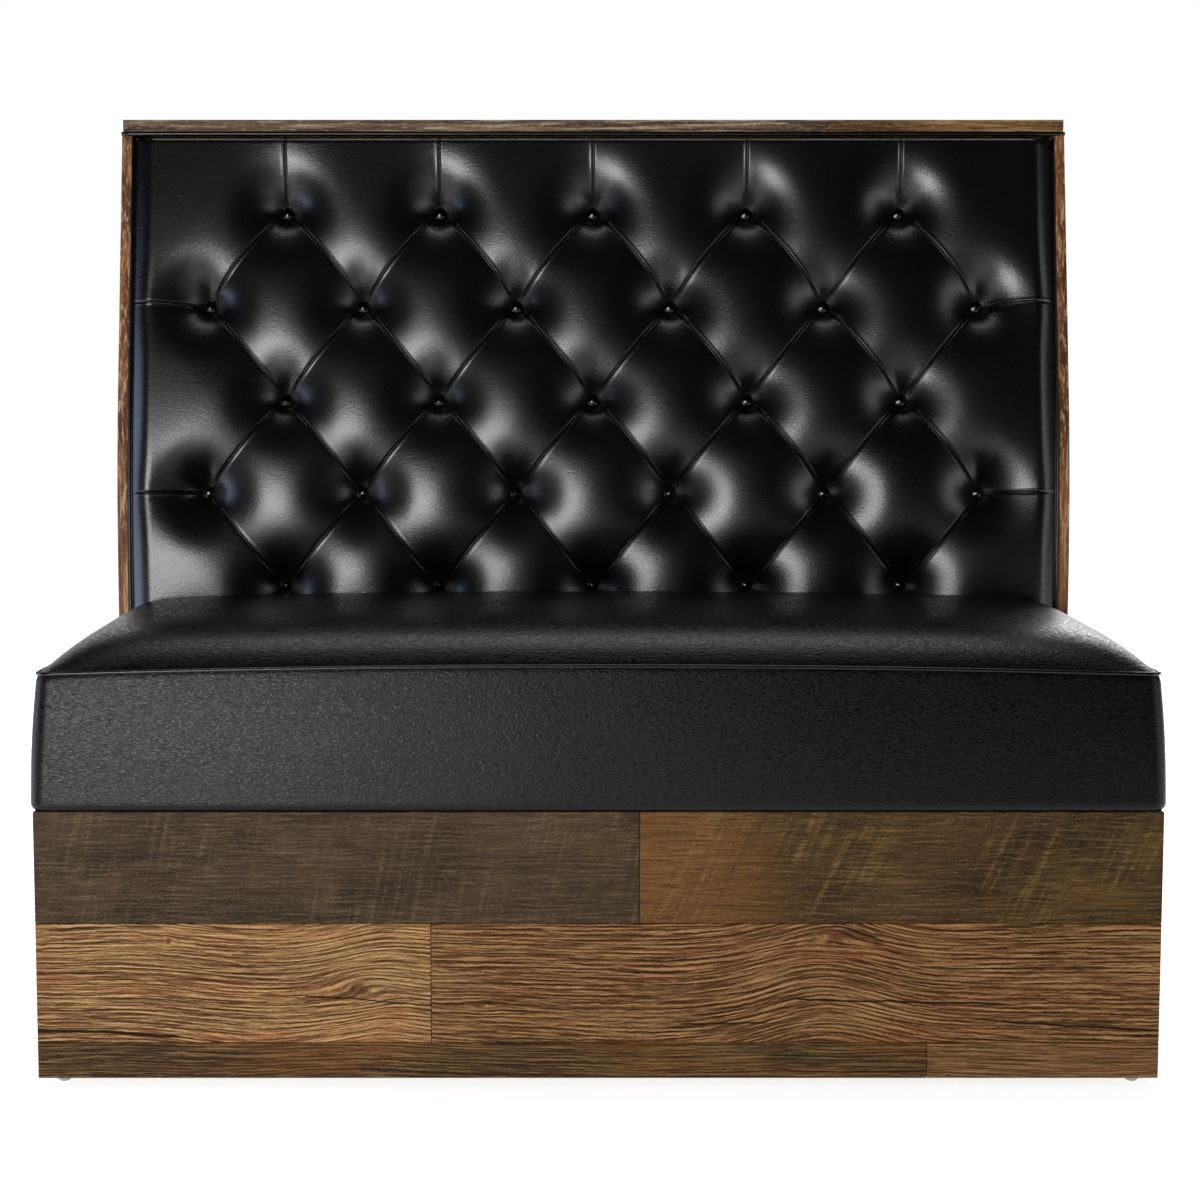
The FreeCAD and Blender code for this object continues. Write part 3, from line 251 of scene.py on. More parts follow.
def bent_grain(finish, knots, arches, along):
    """X, Z and the height that a point's grain line would have if it ran straight.

    Lines wander, arch and part round knots.
    """
    x, y, z = finish.axes(finish.place)
    if along == "y":
        x = y
    drift = finish.noise(finish.stretched(2.6, 1, 5), detail=2, roughness=0.45)
    height = z + (drift - 0.5) * GRAIN_WANDER
    for middle, reach, rise in arches:
        height = height - ((x - middle) / reach).bell() * rise
    for knot_x, knot_z, reach_x, reach_z, pull in knots:
        across = z - knot_z
        away = ((x - knot_x) / reach_x) ** 2 + (across / reach_z) ** 2
        height = height - across * away.falling() * pull
    return x, z, height


def knot_shade(x, z, knots):
    """How dark the heart of the knots is at a point."""
    shade = x * 0
    for knot_x, knot_z, reach_x, reach_z, _ in knots:
        across = (x - knot_x) / (reach_x * KNOT_HEART[0])
        up = (z - knot_z) / (reach_z * KNOT_HEART[1])
        shade = shade + (across * across + up * up).falling()
    return shade


def course_tints(z):
    """The upper and the lower course of the side planks, in the browns of the front's boards."""
    upper = z.above(UPPER_COURSE - COURSE_BLUR, UPPER_COURSE + COURSE_BLUR)
    lower = 1 - z.above(LOWER_COURSE - COURSE_BLUR, LOWER_COURSE + COURSE_BLUR)
    return (upper * 0.62, DARK_BROWN[1]), (lower * 0.5, LOW_BROWN[1])


def grained_plank(name, tones, knots=(), arches=(), cracks=(), spacing=0.0046, contrast=1.0, along="x"):
    """Coarse open grain: ragged light and dark streaks, thin dark lines, knots and drying cracks, with
    painted highlight and painted shade along the grain lines as if they stood in relief.
    """
    deep, middle, light, red = tones
    finish = Finish(name, specular=0.1)
    x, z, height = bent_grain(finish, knots, arches, along)
    grain = finish.noise_at
    ragged = grain(x * 110, 1, z * 160, 3, 0.6)
    height = height + (ragged - 0.5) * 0.0022
    across = height / spacing
    uneven = grain(x * 1.6, 0, across * 0.3, 3)
    bands = (across + uneven * 4).fraction()
    line = bands.above(0.55, 0.85) * bands.below(0.9, 1.0)
    # painted highlight: a lighter band just after each dark grain line, as on a lit ridge
    painted_ridge_highlight = bands.above(0.0, 0.12) * bands.below(0.18, 0.45)
    present = grain(x * 9, 0, across * 0.6, 5, 0.7)
    streaks = grain(x * 5, 2, height * 150, 6, 0.78)
    fibres = grain(x * 26, 5, height * 330, 3, 0.6)
    # painted light and shade either side of each grain line, as if lit from above
    painted_relief = finish.painted_relief(x * 16, height * 260, 4)
    checks = grain(x * 210, 7, height * 330, 3, 0.65)
    clouds = finish.noise(finish.stretched(6, 6, 22), detail=4, roughness=0.65)
    reddish = finish.noise(finish.stretched(5, 5, 34), detail=4, distortion=0.4).above(0.48, 0.66)
    olive = grain(x * 7, 9, z * 40, 4, 0.7).above(0.52, 0.7)
    tint = finish.layered(
        finish.mix(streaks.above(0.28, 0.66), deep, middle),
        (clouds.above(0.45, 0.75) * 0.5, light),
        (reddish * 0.65, red),
        (olive * 0.3, OLIVE),
        (fibres.above(0.5, 0.7) * 0.6 * contrast, light),
        (fibres.below(0.3, 0.46) * 0.6 * contrast, deep),
        # painted highlight on the ridge beside each dark grain line
        (painted_ridge_highlight * present.above(0.4, 0.6) * 0.75 * contrast, light),
        (line * present.above(0.34, 0.56) * 0.9 * contrast, deep),
        (checks.above(0.54, 0.66) * 0.5 * contrast, deep),
        # painted highlight on one side of each grain line and painted shade on the other
        (painted_relief.above(0.03, 0.16) * 0.7 * contrast, light),
        ((painted_relief * -1).above(0.03, 0.16) * 0.8 * contrast, deep))
    groove = line * present.above(0.34, 0.6) + checks * 0.6
    if along == "y":
        tint = finish.layered(tint, *course_tints(z))
    if knots:
        tint = finish.mix(knot_shade(x, z, knots).above(0.1, 0.7) * 0.8, tint, KNOT_RED)
    if cracks:
        split = crack_field(finish, x, z, cracks)
        tint = finish.mix(split, tint, CRACK_DARK)
        groove = groove + split * 2.5
    return finish.made(tint, 0.62 - fibres * 0.18, fibres * 0.8 + streaks * 0.6 - groove, 0.7, 0.0009)


def crack_field(finish, x, z, cracks):
    """Long dark splits that wave a little and fade at both ends."""
    shake = (finish.noise_at(x * 9, 0, 0, 3) - 0.5) * 0.010
    fine = (finish.noise_at(x * 60, 0, 3, 2) - 0.5) * 0.0016
    total = x * 0
    for start, end, height, fall, width in cracks:
        middle = (start + end) / 2
        half = (end - start) / 2
        along = (x - middle) / half
        line = z - height + (x - middle) * fall - shake - fine
        total = total + (line / width).bell() * along.size().below(0.75, 1.0)
    return total.above(0.25, 0.9)


def sawn_plank(name, tones, seed, slant, wear=1.0, warm_end=None):
    """A plank with leaning saw marks, fine weathered lines and pale specks, and perhaps a warmer left end,
    with painted highlight and painted shade beside the grain lines.
    """
    deep, middle, light, rust = tones
    finish = Finish(name, specular=0.1)
    x, _, z = finish.axes(finish.place)
    grain = finish.noise_at
    across = x - (z - SAWN_MIDDLE) * slant
    broad = grain(x * 5, seed, z * 12, 5, 0.65)
    olive = grain(across * 9, seed + 2, z * 6, 4, 0.65).above(0.5, 0.7)
    marks = grain(across * 130, seed, z * 5, 4, 0.7)
    groups = grain(across * 11, seed, z * 7, 3, 0.6)
    lines = grain(x * 34, seed, z * 340, 4, 0.65)
    # painted light and shade either side of each grain line, as if lit from above
    painted_relief = finish.painted_relief(x * 20, z * 300 + (broad - 0.5) * 6, seed)
    long_lines = grain(x * 5, seed, z * 240, 5, 0.75)
    grit = grain(x * 260, seed, z * 420, 3, 0.7)
    specks = grain(x * 150, seed, z * 300, 1).above(0.68, 0.74)
    flecks = specks * grain(x * 9, seed, z * 15, 2).above(0.5, 0.66)
    warm = grain(across * 6, seed + 4, z * 12, 5, 0.6).above(0.5, 0.72)
    sawn = marks.above(0.48, 0.66) * groups.above(0.42, 0.58)
    scored = marks.below(0.3, 0.48) * groups.above(0.4, 0.6)
    tint = finish.layered(
        finish.mix(broad.above(0.3, 0.7), deep, middle),
        (warm * 0.4, rust),
        (olive * 0.45, SAWN_OLIVE))
    if warm_end:
        start, end = warm_end
        tint = finish.mix((1 - (x + (broad - 0.5) * 0.3).above(start, end)) * 0.6, tint, rust)
    tint = finish.layered(
        tint,
        (long_lines.above(0.5, 0.72) * 0.4, light),
        (long_lines.below(0.28, 0.5) * 0.6, deep),
        (sawn * lines.above(0.36, 0.6) * 0.6 * wear, light),
        (scored * 0.4 * wear, deep),
        (lines.below(0.34, 0.5) * 0.42, deep),
        (lines.above(0.54, 0.66) * 0.22, light),
        # painted highlight on one side of each grain line and painted shade on the other
        (painted_relief.above(0.03, 0.16) * 0.25, light),
        ((painted_relief * -1).above(0.03, 0.16) * 0.42, deep),
        (grit.above(0.55, 0.7) * 0.4, light),
        (grit.below(0.3, 0.46) * 0.55, deep),
        (flecks * 0.4 * wear, PALE_FLECK))
    return finish.made(tint, 0.64 - lines * 0.12, lines * 0.6 + marks * 0.3 + grit * 0.4, 0.45, 0.0006)


def panel_wood(name, tones, direction):
    """Wood-look board with its grain along X, Y or Z: streaks, small pores and pale flecks."""
    deep, middle, light, _ = tones
    finish = Finish(name, specular=0.12)

    def scaled(along, across):
        return finish.stretched(*[along if axis == direction else across for axis in "xyz"])

    bands = finish.noise(scaled(3, 70), detail=4, roughness=0.6, distortion=0.3)
    streaks = finish.noise(scaled(14, 300), detail=3, roughness=0.6)
    flecks = finish.noise(scaled(130, 420), detail=2, roughness=0.6)
    tint = finish.layered(
        finish.mix(bands.above(0.35, 0.65), deep, middle),
        (streaks.above(0.52, 0.66) * 0.6, light),
        (streaks.below(0.34, 0.46) * 0.8, deep),
        (flecks.above(0.57, 0.7) * 0.4, light),
        (flecks.below(0.3, 0.42) * 0.5, deep))
    height = bands * 0.3 + streaks * 0.7 + flecks * 0.3
    return finish.made(tint, 0.6 - streaks * 0.15, height, 0.4, 0.0006)


def plain_wood(name, dark, light, scale=1.0):
    """Raw sheet or sawn softwood inside the bench."""
    finish = Finish(name, specular=0.15)
    rings = finish.noise(finish.stretched(5 * scale, 60 * scale, 60 * scale), detail=4, roughness=0.6)
    fibres = finish.noise(finish.stretched(40, 500, 500), detail=2)
    tint = finish.mix(rings * 0.8 + fibres * 0.2, dark, light)
    return finish.made(tint, 0.7 - fibres * 0.15, rings * 0.3 + fibres * 0.7, 0.3, 0.0004)


# Metal, plastic and cloth

def metal(name, colour, roughness):
    finish = Finish(name, metallic=1.0)
    brushed = finish.noise(finish.stretched(200, 200, 1600), detail=2)
    patches = finish.noise(finish.place, scale=60, detail=3)
    tint = finish.mix(patches, colour, tuple(part * 0.8 for part in colour[:3]) + (1.0,))
    return finish.made(tint, brushed * 0.2 + roughness, brushed, 0.15, 0.0002)


def glide_plastic():
    finish = Finish("clear_nylon", specular=0.6)
    haze = finish.noise(finish.place, scale=160, detail=3)
    return finish.made(finish.mix(haze, tone(176, 178, 176), tone(140, 142, 142)), haze * 0.12 + 0.16)


def moulded_plastic():
    finish = Finish("button_anchor_plastic")
    haze = finish.noise(finish.place, scale=300, detail=3)
    tint = finish.mix(haze, tone(190, 190, 184), tone(170, 170, 166))
    return finish.made(tint, haze * 0.1 + 0.42, haze, 0.15, 0.0002)


def fibre_cloth(name, dark, light, scale, bumpiness):
    """Felt, foam, twine or black cloth: an even tangle of fibres."""
    finish = Finish(name, specular=0.15)
    tangle = finish.noise(finish.place, scale=scale, detail=5, roughness=0.7, distortion=0.8)
    return finish.made(finish.mix(tangle, dark, light), tangle * 0.1 + 0.85, tangle, 0.6, bumpiness)


# Tones of the boards: deep, middle, light and reddish.
DARK_BROWN = (tone(30, 22, 14), tone(71, 55, 40), tone(124, 102, 72), tone(92, 64, 34))
MIXED_BROWN = (tone(26, 18, 10), tone(74, 53, 30), tone(138, 108, 62), tone(120, 80, 40))
WARM_TAN = (tone(46, 24, 10), tone(130, 88, 50), tone(202, 160, 106), tone(146, 84, 50))
WARM_BROWN = (tone(32, 17, 8), tone(108, 71, 38), tone(178, 134, 84), tone(122, 66, 38))
LOW_BROWN = (tone(20, 13, 6), tone(78, 53, 28), tone(140, 108, 66), tone(104, 62, 28))
LOW_TAN = (tone(36, 22, 10), tone(113, 78, 44), tone(172, 134, 88), tone(124, 78, 44))
CAP_GREY = (tone(46, 34, 24), tone(112, 92, 70), tone(190, 170, 146), tone(120, 88, 62))
CAP_BROWN = (tone(46, 30, 16), tone(126, 92, 57), tone(178, 140, 94), tone(110, 76, 46))
OAK = (tone(70, 40, 20), tone(140, 94, 58), tone(214, 174, 130), tone(150, 90, 60))
REAR = (tone(72, 50, 32), tone(104, 76, 50), tone(132, 102, 72), tone(110, 74, 46))

OLIVE = tone(104, 88, 44)
SAWN_OLIVE = tone(92, 78, 42)
KNOT_RED = tone(84, 40, 24)
CRACK_DARK = tone(18, 12, 9)
PALE_FLECK = tone(150, 122, 76)

# Knots: X, height, reach along and across the grain, and how far the grain parts.
LEFT_KNOTS = ((-0.256, 0.106, 0.034, 0.016, 0.8), (-0.462, 0.160, 0.008, 0.010, 0.4))
RIGHT_KNOTS = ((0.256, 0.164, 0.034, 0.016, 0.7), (-0.128, 0.0895, 0.020, 0.008, 0.6))
# Arches of the grain: X of the middle, reach and rise.
LEFT_ARCHES = ((-0.36, 0.10, -0.012), (-0.23, 0.05, 0.006))
RIGHT_ARCHES = ((0.245, 0.085, 0.024), (0.02, 0.16, -0.006))
# Cracks: start and end in X, height in the middle, fall per metre, and half width.
LEFT_CRACKS = ((-0.64, -0.44, 0.060, 0.055, 0.0020), (-0.33, -0.15, 0.094, 0.07, 0.0008))
RIGHT_CRACKS = ((0.19, 0.46, 0.0935, 0.025, 0.0012), (0.42, 0.64, 0.066, 0.055, 0.0014),
                (0.08, 0.19, 0.069, 0.0, 0.0010))


def finishes():
    """Every finish by name."""
    return {
        "back_vinyl": vinyl("back_vinyl_grain", 0.28, gloss=0.5, grain=0.9),
        "seat_vinyl": vinyl("seat_vinyl_grain", 0.35, gloss=0.19, grain=3.0, dull=1.0),
        "welt_vinyl": vinyl("welt_vinyl_grain", 0.26),
        "button_vinyl": vinyl("button_vinyl_grain", 0.12, gloss=0.35, grain=0.2),
        "sawn_left": sawn_plank("sawn_grey_brown", DARK_BROWN, 1.0, 0.22, wear=0.75),
        "sawn_right": sawn_plank("sawn_mixed_brown", MIXED_BROWN, 7.0, 0.45, warm_end=(0.09, 0.26)),
        "grain_left": grained_plank("grained_warm_tan", WARM_TAN, LEFT_KNOTS, LEFT_ARCHES, LEFT_CRACKS),
        "grain_right": grained_plank("grained_warm_brown", WARM_BROWN, RIGHT_KNOTS, RIGHT_ARCHES,
                                     RIGHT_CRACKS),
        "low_left": grained_plank("grained_low_brown", LOW_BROWN, spacing=0.0038, contrast=0.8),
        "low_right": grained_plank("grained_low_tan", LOW_TAN, spacing=0.0036, contrast=0.7),
        "side_planks": grained_plank("grained_side_planks", WARM_BROWN, along="y"),
        "cap_left": panel_wood("cap_grey_wood", CAP_GREY, "x"),
        "cap_right": panel_wood("cap_brown_wood", CAP_BROWN, "x"),
        "end_panel": panel_wood("end_panel_wood", OAK, "z"),
        "rear_board": panel_wood("rear_board_wood", REAR, "x"),
        "plywood": plain_wood("raw_plywood", tone(172, 138, 96), tone(206, 172, 126)),
        "pine": plain_wood("raw_pine", tone(188, 148, 98), tone(220, 184, 134), 0.6),
        "zinc": metal("zinc_plate", tone(196, 198, 202), 0.3),
        "spring": metal("spring_wire", tone(120, 122, 126), 0.35),
        "glide": glide_plastic(),
        "anchor": moulded_plastic(),
        "foam": fibre_cloth("upholstery_foam", tone(206, 188, 136), tone(234, 220, 170), 900, 0.0008),
        "felt": fibre_cloth("pressed_felt", tone(92, 90, 86), tone(140, 138, 132), 500, 0.0006),
        "twine": fibre_cloth("waxed_twine", tone(176, 166, 144), tone(214, 206, 186), 1500, 0.0002),
        "dust_cloth": fibre_cloth("black_dust_cloth", tone(14, 14, 15), tone(34, 34, 36), 800, 0.0002),
    }


def finish_for(node):
    """The finish of a CAD node that stays."""
    sided = {"plank_upper": "sawn", "plank_middle": "grain", "plank_lower": "low", "cap_board": "cap"}
    exact = {
        "tuft_buttons": "button_vinyl", "rear_panel": "rear_board",
        "back_top_rail": "pine", "seat_fixing_blocks": "pine", "tuft_ties": "twine",
        "tie_anchors": "anchor", "seat_springs": "spring", "spring_clips": "spring",
        "tee_nuts": "zinc",
    }
    starts = {
        "side_planks": "side_planks", "end_panel_screws": "zinc", "end_panel": "end_panel",
        "base_post": "pine", "seat_rail": "pine", "leveller": "glide",
    }
    stem, _, side = node.rpartition("_")
    if stem in sided:
        return f"{sided[stem]}_{side}"
    if node in exact:
        return exact[node]
    for start, finish in starts.items():
        if node.startswith(start):
            return finish
    return "zinc" if node.endswith("screws") else "plywood"


# Meshes

GRID_SLACK = 0.001


def placed(name, data):
    """A new object in the scene."""
    thing = bpy.data.objects.new(name, data)
    bpy.context.scene.collection.objects.link(thing)
    return thing


def piece(name, points, faces, finish):
    """A smooth mesh piece of the bench."""
    mesh = bpy.data.meshes.new(name)
    mesh.from_pydata([tuple(map(float, point)) for point in points], [], [tuple(map(int, f)) for f in faces])
    mesh.validate()
    mesh.polygons.foreach_set("use_smooth", [True] * len(mesh.polygons))
    mesh.materials.append(finish)
    thing = placed(name, mesh)
    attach(thing, BENCH)
    return thing


def triangles(flat, border):
    """Triangles over flat points whose first ones, in order, are the border."""
    edges = [(index, (index + 1) % border) for index in range(border)]
    result = geometry.delaunay_2d_cdt([Vector(point) for point in flat], edges, [], 1, 1e-7)
    kept, faces, originals = result[0], result[2], result[3]
    if len(kept) != len(flat):
        raise RuntimeError("two points of a pad lie on each other")
    order = [ids[0] for ids in originals]
    return [[order[corner] for corner in face] for face in faces]


def bridge(first, second):
    """Quads between two closed rings of as many points."""
    count = len(first)
    return [(first[i], first[(i + 1) % count], second[(i + 1) % count], second[i]) for i in range(count)]


def bridged(rings, count, start=0):
    """Quads that join so many rings in turn, each of count points, from a first point on."""
    faces = []
    for first in range(start, start + (rings - 1) * count, count):
        faces += bridge(range(first, first + count), range(first + count, first + 2 * count))
    return faces


def grid(half, low, high, step):
    """The points of a square grid, row by row, as wide as two halves and from a low to a high end."""
    across = np.arange(-half, half + GRID_SLACK, step)
    across, up = np.meshgrid(across, np.arange(low, high + GRID_SLACK, step))
    return np.stack([across.ravel(), up.ravel()], 1)


# The reclining curve of the back

BEND_START = 0.509
BEND_RADIUS = 1.484
RECLINE = math.radians(9.7)


def lean_at(height):
    """How far the back leans at a height, in radians."""
    return np.arcsin(np.clip((height - BEND_START) / BEND_RADIUS, 0, math.sin(RECLINE)))


def off_edge(height, proud):
    """Y and Z of points that stand proud of the end panels' edge, square to it."""
    lean = lean_at(height)
    bend_end = BEND_START + BEND_RADIUS * math.sin(RECLINE)
    beyond = np.maximum(height - bend_end, 0) * math.tan(RECLINE)
    edge = PANEL_EDGE + BEND_RADIUS * (1 - np.cos(lean)) + beyond
    return edge - proud * np.cos(lean), height + proud * np.sin(lean)


# Tufted back

ROW_COUNT = 5
TOP_ROW = 0.9844
ROW_PITCH = 0.1205
COLUMN_PITCH = INNER_HALF / 3
PAD_HALF = INNER_HALF - 0.0046
PAD_TOP = BEAD_BOTTOM - 0.003
PAD_BOTTOM = 0.439
PIT_DEPTH = 0.032
PIT_FLOOR = 0.007
PIT_REACH = 0.024
PIT_SAG = 1.1
VALLEY_PROUD = 0.003
PILLOW_PROUD = 0.012
DOME_REACH = 0.080
DOME_POWER = 2.2
CREASE_DEPTH = 0.0022
CREASE_HALF_WIDTH = 0.0012
CREASE_POWER = 1.5
CREASE_AT_BUTTON = 0.35
BUTTON_EDGE = 0.008
BUTTON_FADE = 0.02
LIP_OFFSET = 0.0027
LIP_HALF_WIDTH = 0.0012
LIP_PROUD = 0.0007
COVER_SKIN = 0.0015
FOAM_CLEARANCE = 0.0075
EDGE_ROUND = 0.024
FLANK_POWER = 1.4
RIM_TUCK = 0.002
TOP_ROUND = 0.007
BACK_DEPTH = 0.0497
BACK_HEM = 0.015
BACK_WELT_RADIUS = 0.002
BEAD_RINGS = 121
PLEAT_BOWS = (0.0045, 0.0015, 0.003, 0.001, 0.0)
PILLOW_REACH = 0.085
PUCKER_WAVES = 9
PUCKER_SPREAD = 0.6
PUCKER_REACH = 0.034
PUCKER_WIDTH = 0.014
PUCKER_HEIGHT = 0.0006

# How close the points of the back's meshes lie
CREASE_OFFSETS = (0.0005, 0.0011, 0.0018, 0.0025, 0.0032, 0.004, 0.0052, 0.0075, 0.011)
EDGE_OFFSETS = (0.001, 0.0025, 0.0045, 0.007, 0.0105)
CREASE_STEP = 0.003
COVER_STEP = 0.005
COVER_BORDER = (297, 160)
COVER_MARGIN = 0.0005
COVER_INSET = 0.014
PLEAT_REACH = 0.015
PLEAT_CLEAR = 0.0135
FOAM_STEP = 0.011
FOAM_BORDER = (90, 48)
FOAM_MARGIN = 0.003
FOAM_INSET = 0.008
FOAM_PIT_RINGS = (0.007, 0.014, 0.021, 0.028, 0.037)
FOAM_PIT_CLEAR = 0.042


def button_spots():
    """X and height of each button, row by row from the top."""
    spots = []
    for row in range(ROW_COUNT):
        columns = np.arange(-2, 3) if row % 2 == 0 else np.arange(-2.5, 3)
        spots.append([(column * COLUMN_PITCH, TOP_ROW - row * ROW_PITCH) for column in columns])
    return spots


def pleat_lines(rows):
    """Each pleat's line, from button to button or out to the pad's edge."""
    pleats = []
    for row, spots in enumerate(rows):
        for x, height in spots:
            below = rows[row + 1] if row + 1 < ROW_COUNT else []
            for other_x, other_height in below:
                if abs(other_x - x) < COLUMN_PITCH * 0.6:
                    pleats.append(bowed((x, height), (other_x, other_height), row))
            if row == 0:
                pleats.append(bowed((x, height), (x, PAD_TOP), row))
            if row == ROW_COUNT - 1:
                pleats.append(bowed((x, height), (x, PAD_BOTTOM), row))
        if row % 2:
            for x, height in (spots[0], spots[-1]):
                pleats.append(bowed((x, height), (math.copysign(PAD_HALF, x), height), row))
    return pleats


def tufting():
    """The lines of all pleats and the places of all buttons."""
    rows = button_spots()
    return pleat_lines(rows), [spot for row in rows for spot in row]


def bowed(start, end, row):
    """Points along a pleat: those that fall to the right or left bow up a little."""
    start, end = np.array(start), np.array(end)
    run = end - start
    length = np.linalg.norm(run)
    slanted = abs(run[0]) > 1e-6 and abs(run[1]) > 1e-6
    bow = PLEAT_BOWS[row] if slanted else 0.0
    up = np.array([-run[1], run[0]]) / length * math.copysign(1, run[0])
    count = max(int(length / CREASE_STEP), 2)
    share = np.linspace(0, 1, count + 1)[:, None]
    return start + run * share + up * bow * 4 * share * (1 - share)


def away_from(points, line, reach):
    """How far each point lies from a line of points, up to a reach, and on which side of it."""
    nearest = np.full(len(points), reach)
    side = np.zeros(len(points))
    close = np.all((points > line.min(0) - reach) & (points < line.max(0) + reach), axis=1)
    picked = points[close]
    best = np.full(len(picked), reach)
    best_side = np.zeros(len(picked))
    joints = np.concatenate([line[:-1:4], line[-1:]])
    for start, end in zip(joints, joints[1:]):
        run = end - start
        along = np.clip(((picked - start) @ run) / float(run @ run), 0, 1)
        gap = picked - start - along[:, None] * run
        distance = np.hypot(gap[:, 0], gap[:, 1])
        closer = distance < best
        best = np.where(closer, distance, best)
        best_side = np.where(closer, np.sign(run[0] * gap[:, 1] - run[1] * gap[:, 0]), best_side)
    nearest[close] = best
    side[close] = best_side
    return nearest, side


def quarter_round(share):
    share = np.clip(share, 0, 1)
    return np.sqrt(1 - (1 - share) ** 2)


def soft_step(share):
    share = np.clip(share, 0, 1)
    return share * share * (3 - 2 * share)


def pillow_height(points, pleats, buttons):
    """How far the tufted cover stands proud of the panel edge at points of X and height."""
    rise = np.ones(len(points))
    nearest = np.full(len(points), DOME_REACH)
    lip = np.zeros(len(points))
    for line in pleats:
        distance, side = away_from(points, line, DOME_REACH)
        rise *= 1 - (1 - distance / DOME_REACH) ** DOME_POWER
        nearest = np.minimum(nearest, distance)
        lip = np.maximum(lip, np.exp(-((distance * side - LIP_OFFSET) / LIP_HALF_WIDTH) ** 2))
    pit = np.zeros(len(points))
    to_button = np.full(len(points), 1.0)
    for x, height in buttons:
        across, up = points[:, 0] - x, points[:, 1] - height
        to_button = np.minimum(to_button, np.hypot(across, up))
        sagged = np.hypot(across, up * np.where(up > 0, 1 / PIT_SAG, PIT_SAG))
        pit += np.exp((PIT_FLOOR - np.hypot(sagged, PIT_FLOOR)) / PIT_REACH)
    to_side = PAD_HALF - np.abs(points[:, 0])
    to_top = PAD_TOP - points[:, 1]
    inside = soft_step(np.minimum(to_side, to_top) / PILLOW_REACH)
    from_button = soft_step((to_button - BUTTON_EDGE) / BUTTON_FADE)
    depth = CREASE_DEPTH * (CREASE_AT_BUTTON + (1 - CREASE_AT_BUTTON) * from_button)
    fold = np.exp(-(nearest / CREASE_HALF_WIDTH) ** CREASE_POWER) * depth
    height = VALLEY_PROUD + (PILLOW_PROUD - VALLEY_PROUD) * (1 - inside * (1 - rise))
    height -= (VALLEY_PROUD + PIT_DEPTH) * pit
    height += lip * LIP_PROUD * from_button - fold + puckers(points, buttons)
    edge = sloped_edge(to_side / EDGE_ROUND) * quarter_round(to_top / TOP_ROUND)
    return (height + RIM_TUCK) * edge - RIM_TUCK


def sloped_edge(share):
    """A flank that is steep for most of its width and then rounds over."""
    return 1 - (1 - np.clip(share, 0, 1)) ** FLANK_POWER


def puckers(points, buttons):
    """Soft folds that fan out above each button, where the vinyl is gathered."""
    total = np.zeros(len(points))
    for number, (x, height) in enumerate(buttons):
        across = points[:, 0] - x
        up = points[:, 1] - height
        reach = np.hypot(across, up)
        angle = np.arctan2(across, up)
        wave = np.cos(angle * PUCKER_WAVES + number * 1.7) * np.exp(-(angle / PUCKER_SPREAD) ** 2)
        ring = np.exp(-((reach - PUCKER_REACH) / PUCKER_WIDTH) ** 2)
        total += wave * ring * PUCKER_HEIGHT
    return total


def pad_border(half, low, high, counts):
    """Points round a pad, from its lower left corner, with so many across and so many up."""
    across = np.linspace(-half, half, counts[0])
    up = np.linspace(low, high, counts[1])
    border = [(x, low) for x in across] + [(half, z) for z in up[1:-1]]
    return border + [(x, high) for x in across[::-1]] + [(-half, z) for z in up[-2:0:-1]]


def within(points, half, low, high, margin):
    """The points that lie inside a pad's border by more than a margin."""
    x, z = points.T
    return points[(np.abs(x) < half - margin) & (z > low + margin) & (z < high - margin)]


def beside_pleats(pleats):
    """Points on each pleat's line and, in rows beside it, those that lie nearest to that pleat."""
    found = []
    for number, line in enumerate(pleats):
        low, high = line.min(0) - PLEAT_REACH, line.max(0) + PLEAT_REACH
        others = [other for index, other in enumerate(pleats) if index != number
                  and np.all(other.max(0) > low) and np.all(other.min(0) < high)]
        found.append(line[1:-1])
        run = np.gradient(line, axis=0)
        across = np.stack([-run[:, 1], run[:, 0]], 1) / np.hypot(*run.T)[:, None]
        offsets = np.repeat([sign * offset for offset in CREASE_OFFSETS for sign in (-1, 1)], len(line))
        copies = (2 * len(CREASE_OFFSETS), 1)
        beside = np.tile(line, copies) + np.tile(across, copies) * offsets[:, None]
        found.append(beside[nearest_line(beside, others) > np.abs(offsets) * 1.05])
    return np.concatenate(found)


def cover_points(pleats):
    """Points of X and height over the cover: its border, then close ones by each crease, then a grid."""
    border = pad_border(PAD_HALF, PAD_BOTTOM, PAD_TOP, COVER_BORDER)
    edges = [drawn_in(np.array(border), offset) for offset in EDGE_OFFSETS]
    middle = grid(PAD_HALF - COVER_INSET, PAD_BOTTOM + COVER_INSET, PAD_TOP - COVER_INSET, COVER_STEP)
    middle = middle[nearest_line(middle, pleats) > PLEAT_CLEAR]
    inner = np.concatenate([beside_pleats(pleats), *edges, middle])
    inner = within(inner, PAD_HALF, PAD_BOTTOM, PAD_TOP, COVER_MARGIN)
    return np.concatenate([border, spread_out(inner)]), len(border)


def drawn_in(border, offset):
    """The border's points moved inwards onto a smaller rectangle."""
    x, z = border.T
    return np.stack([np.clip(x, -PAD_HALF + offset, PAD_HALF - offset),
                     np.clip(z, PAD_BOTTOM + offset, PAD_TOP - offset)], 1)


def nearest_line(points, lines):
    return np.min([away_from(points, line, PLEAT_REACH)[0] for line in lines], axis=0)


def spread_out(points, least=0.00035):
    """The same points without those that lie on another."""
    _, kept = np.unique(np.round(points / least).astype(int), axis=0, return_index=True)
    return points[np.sort(kept)]


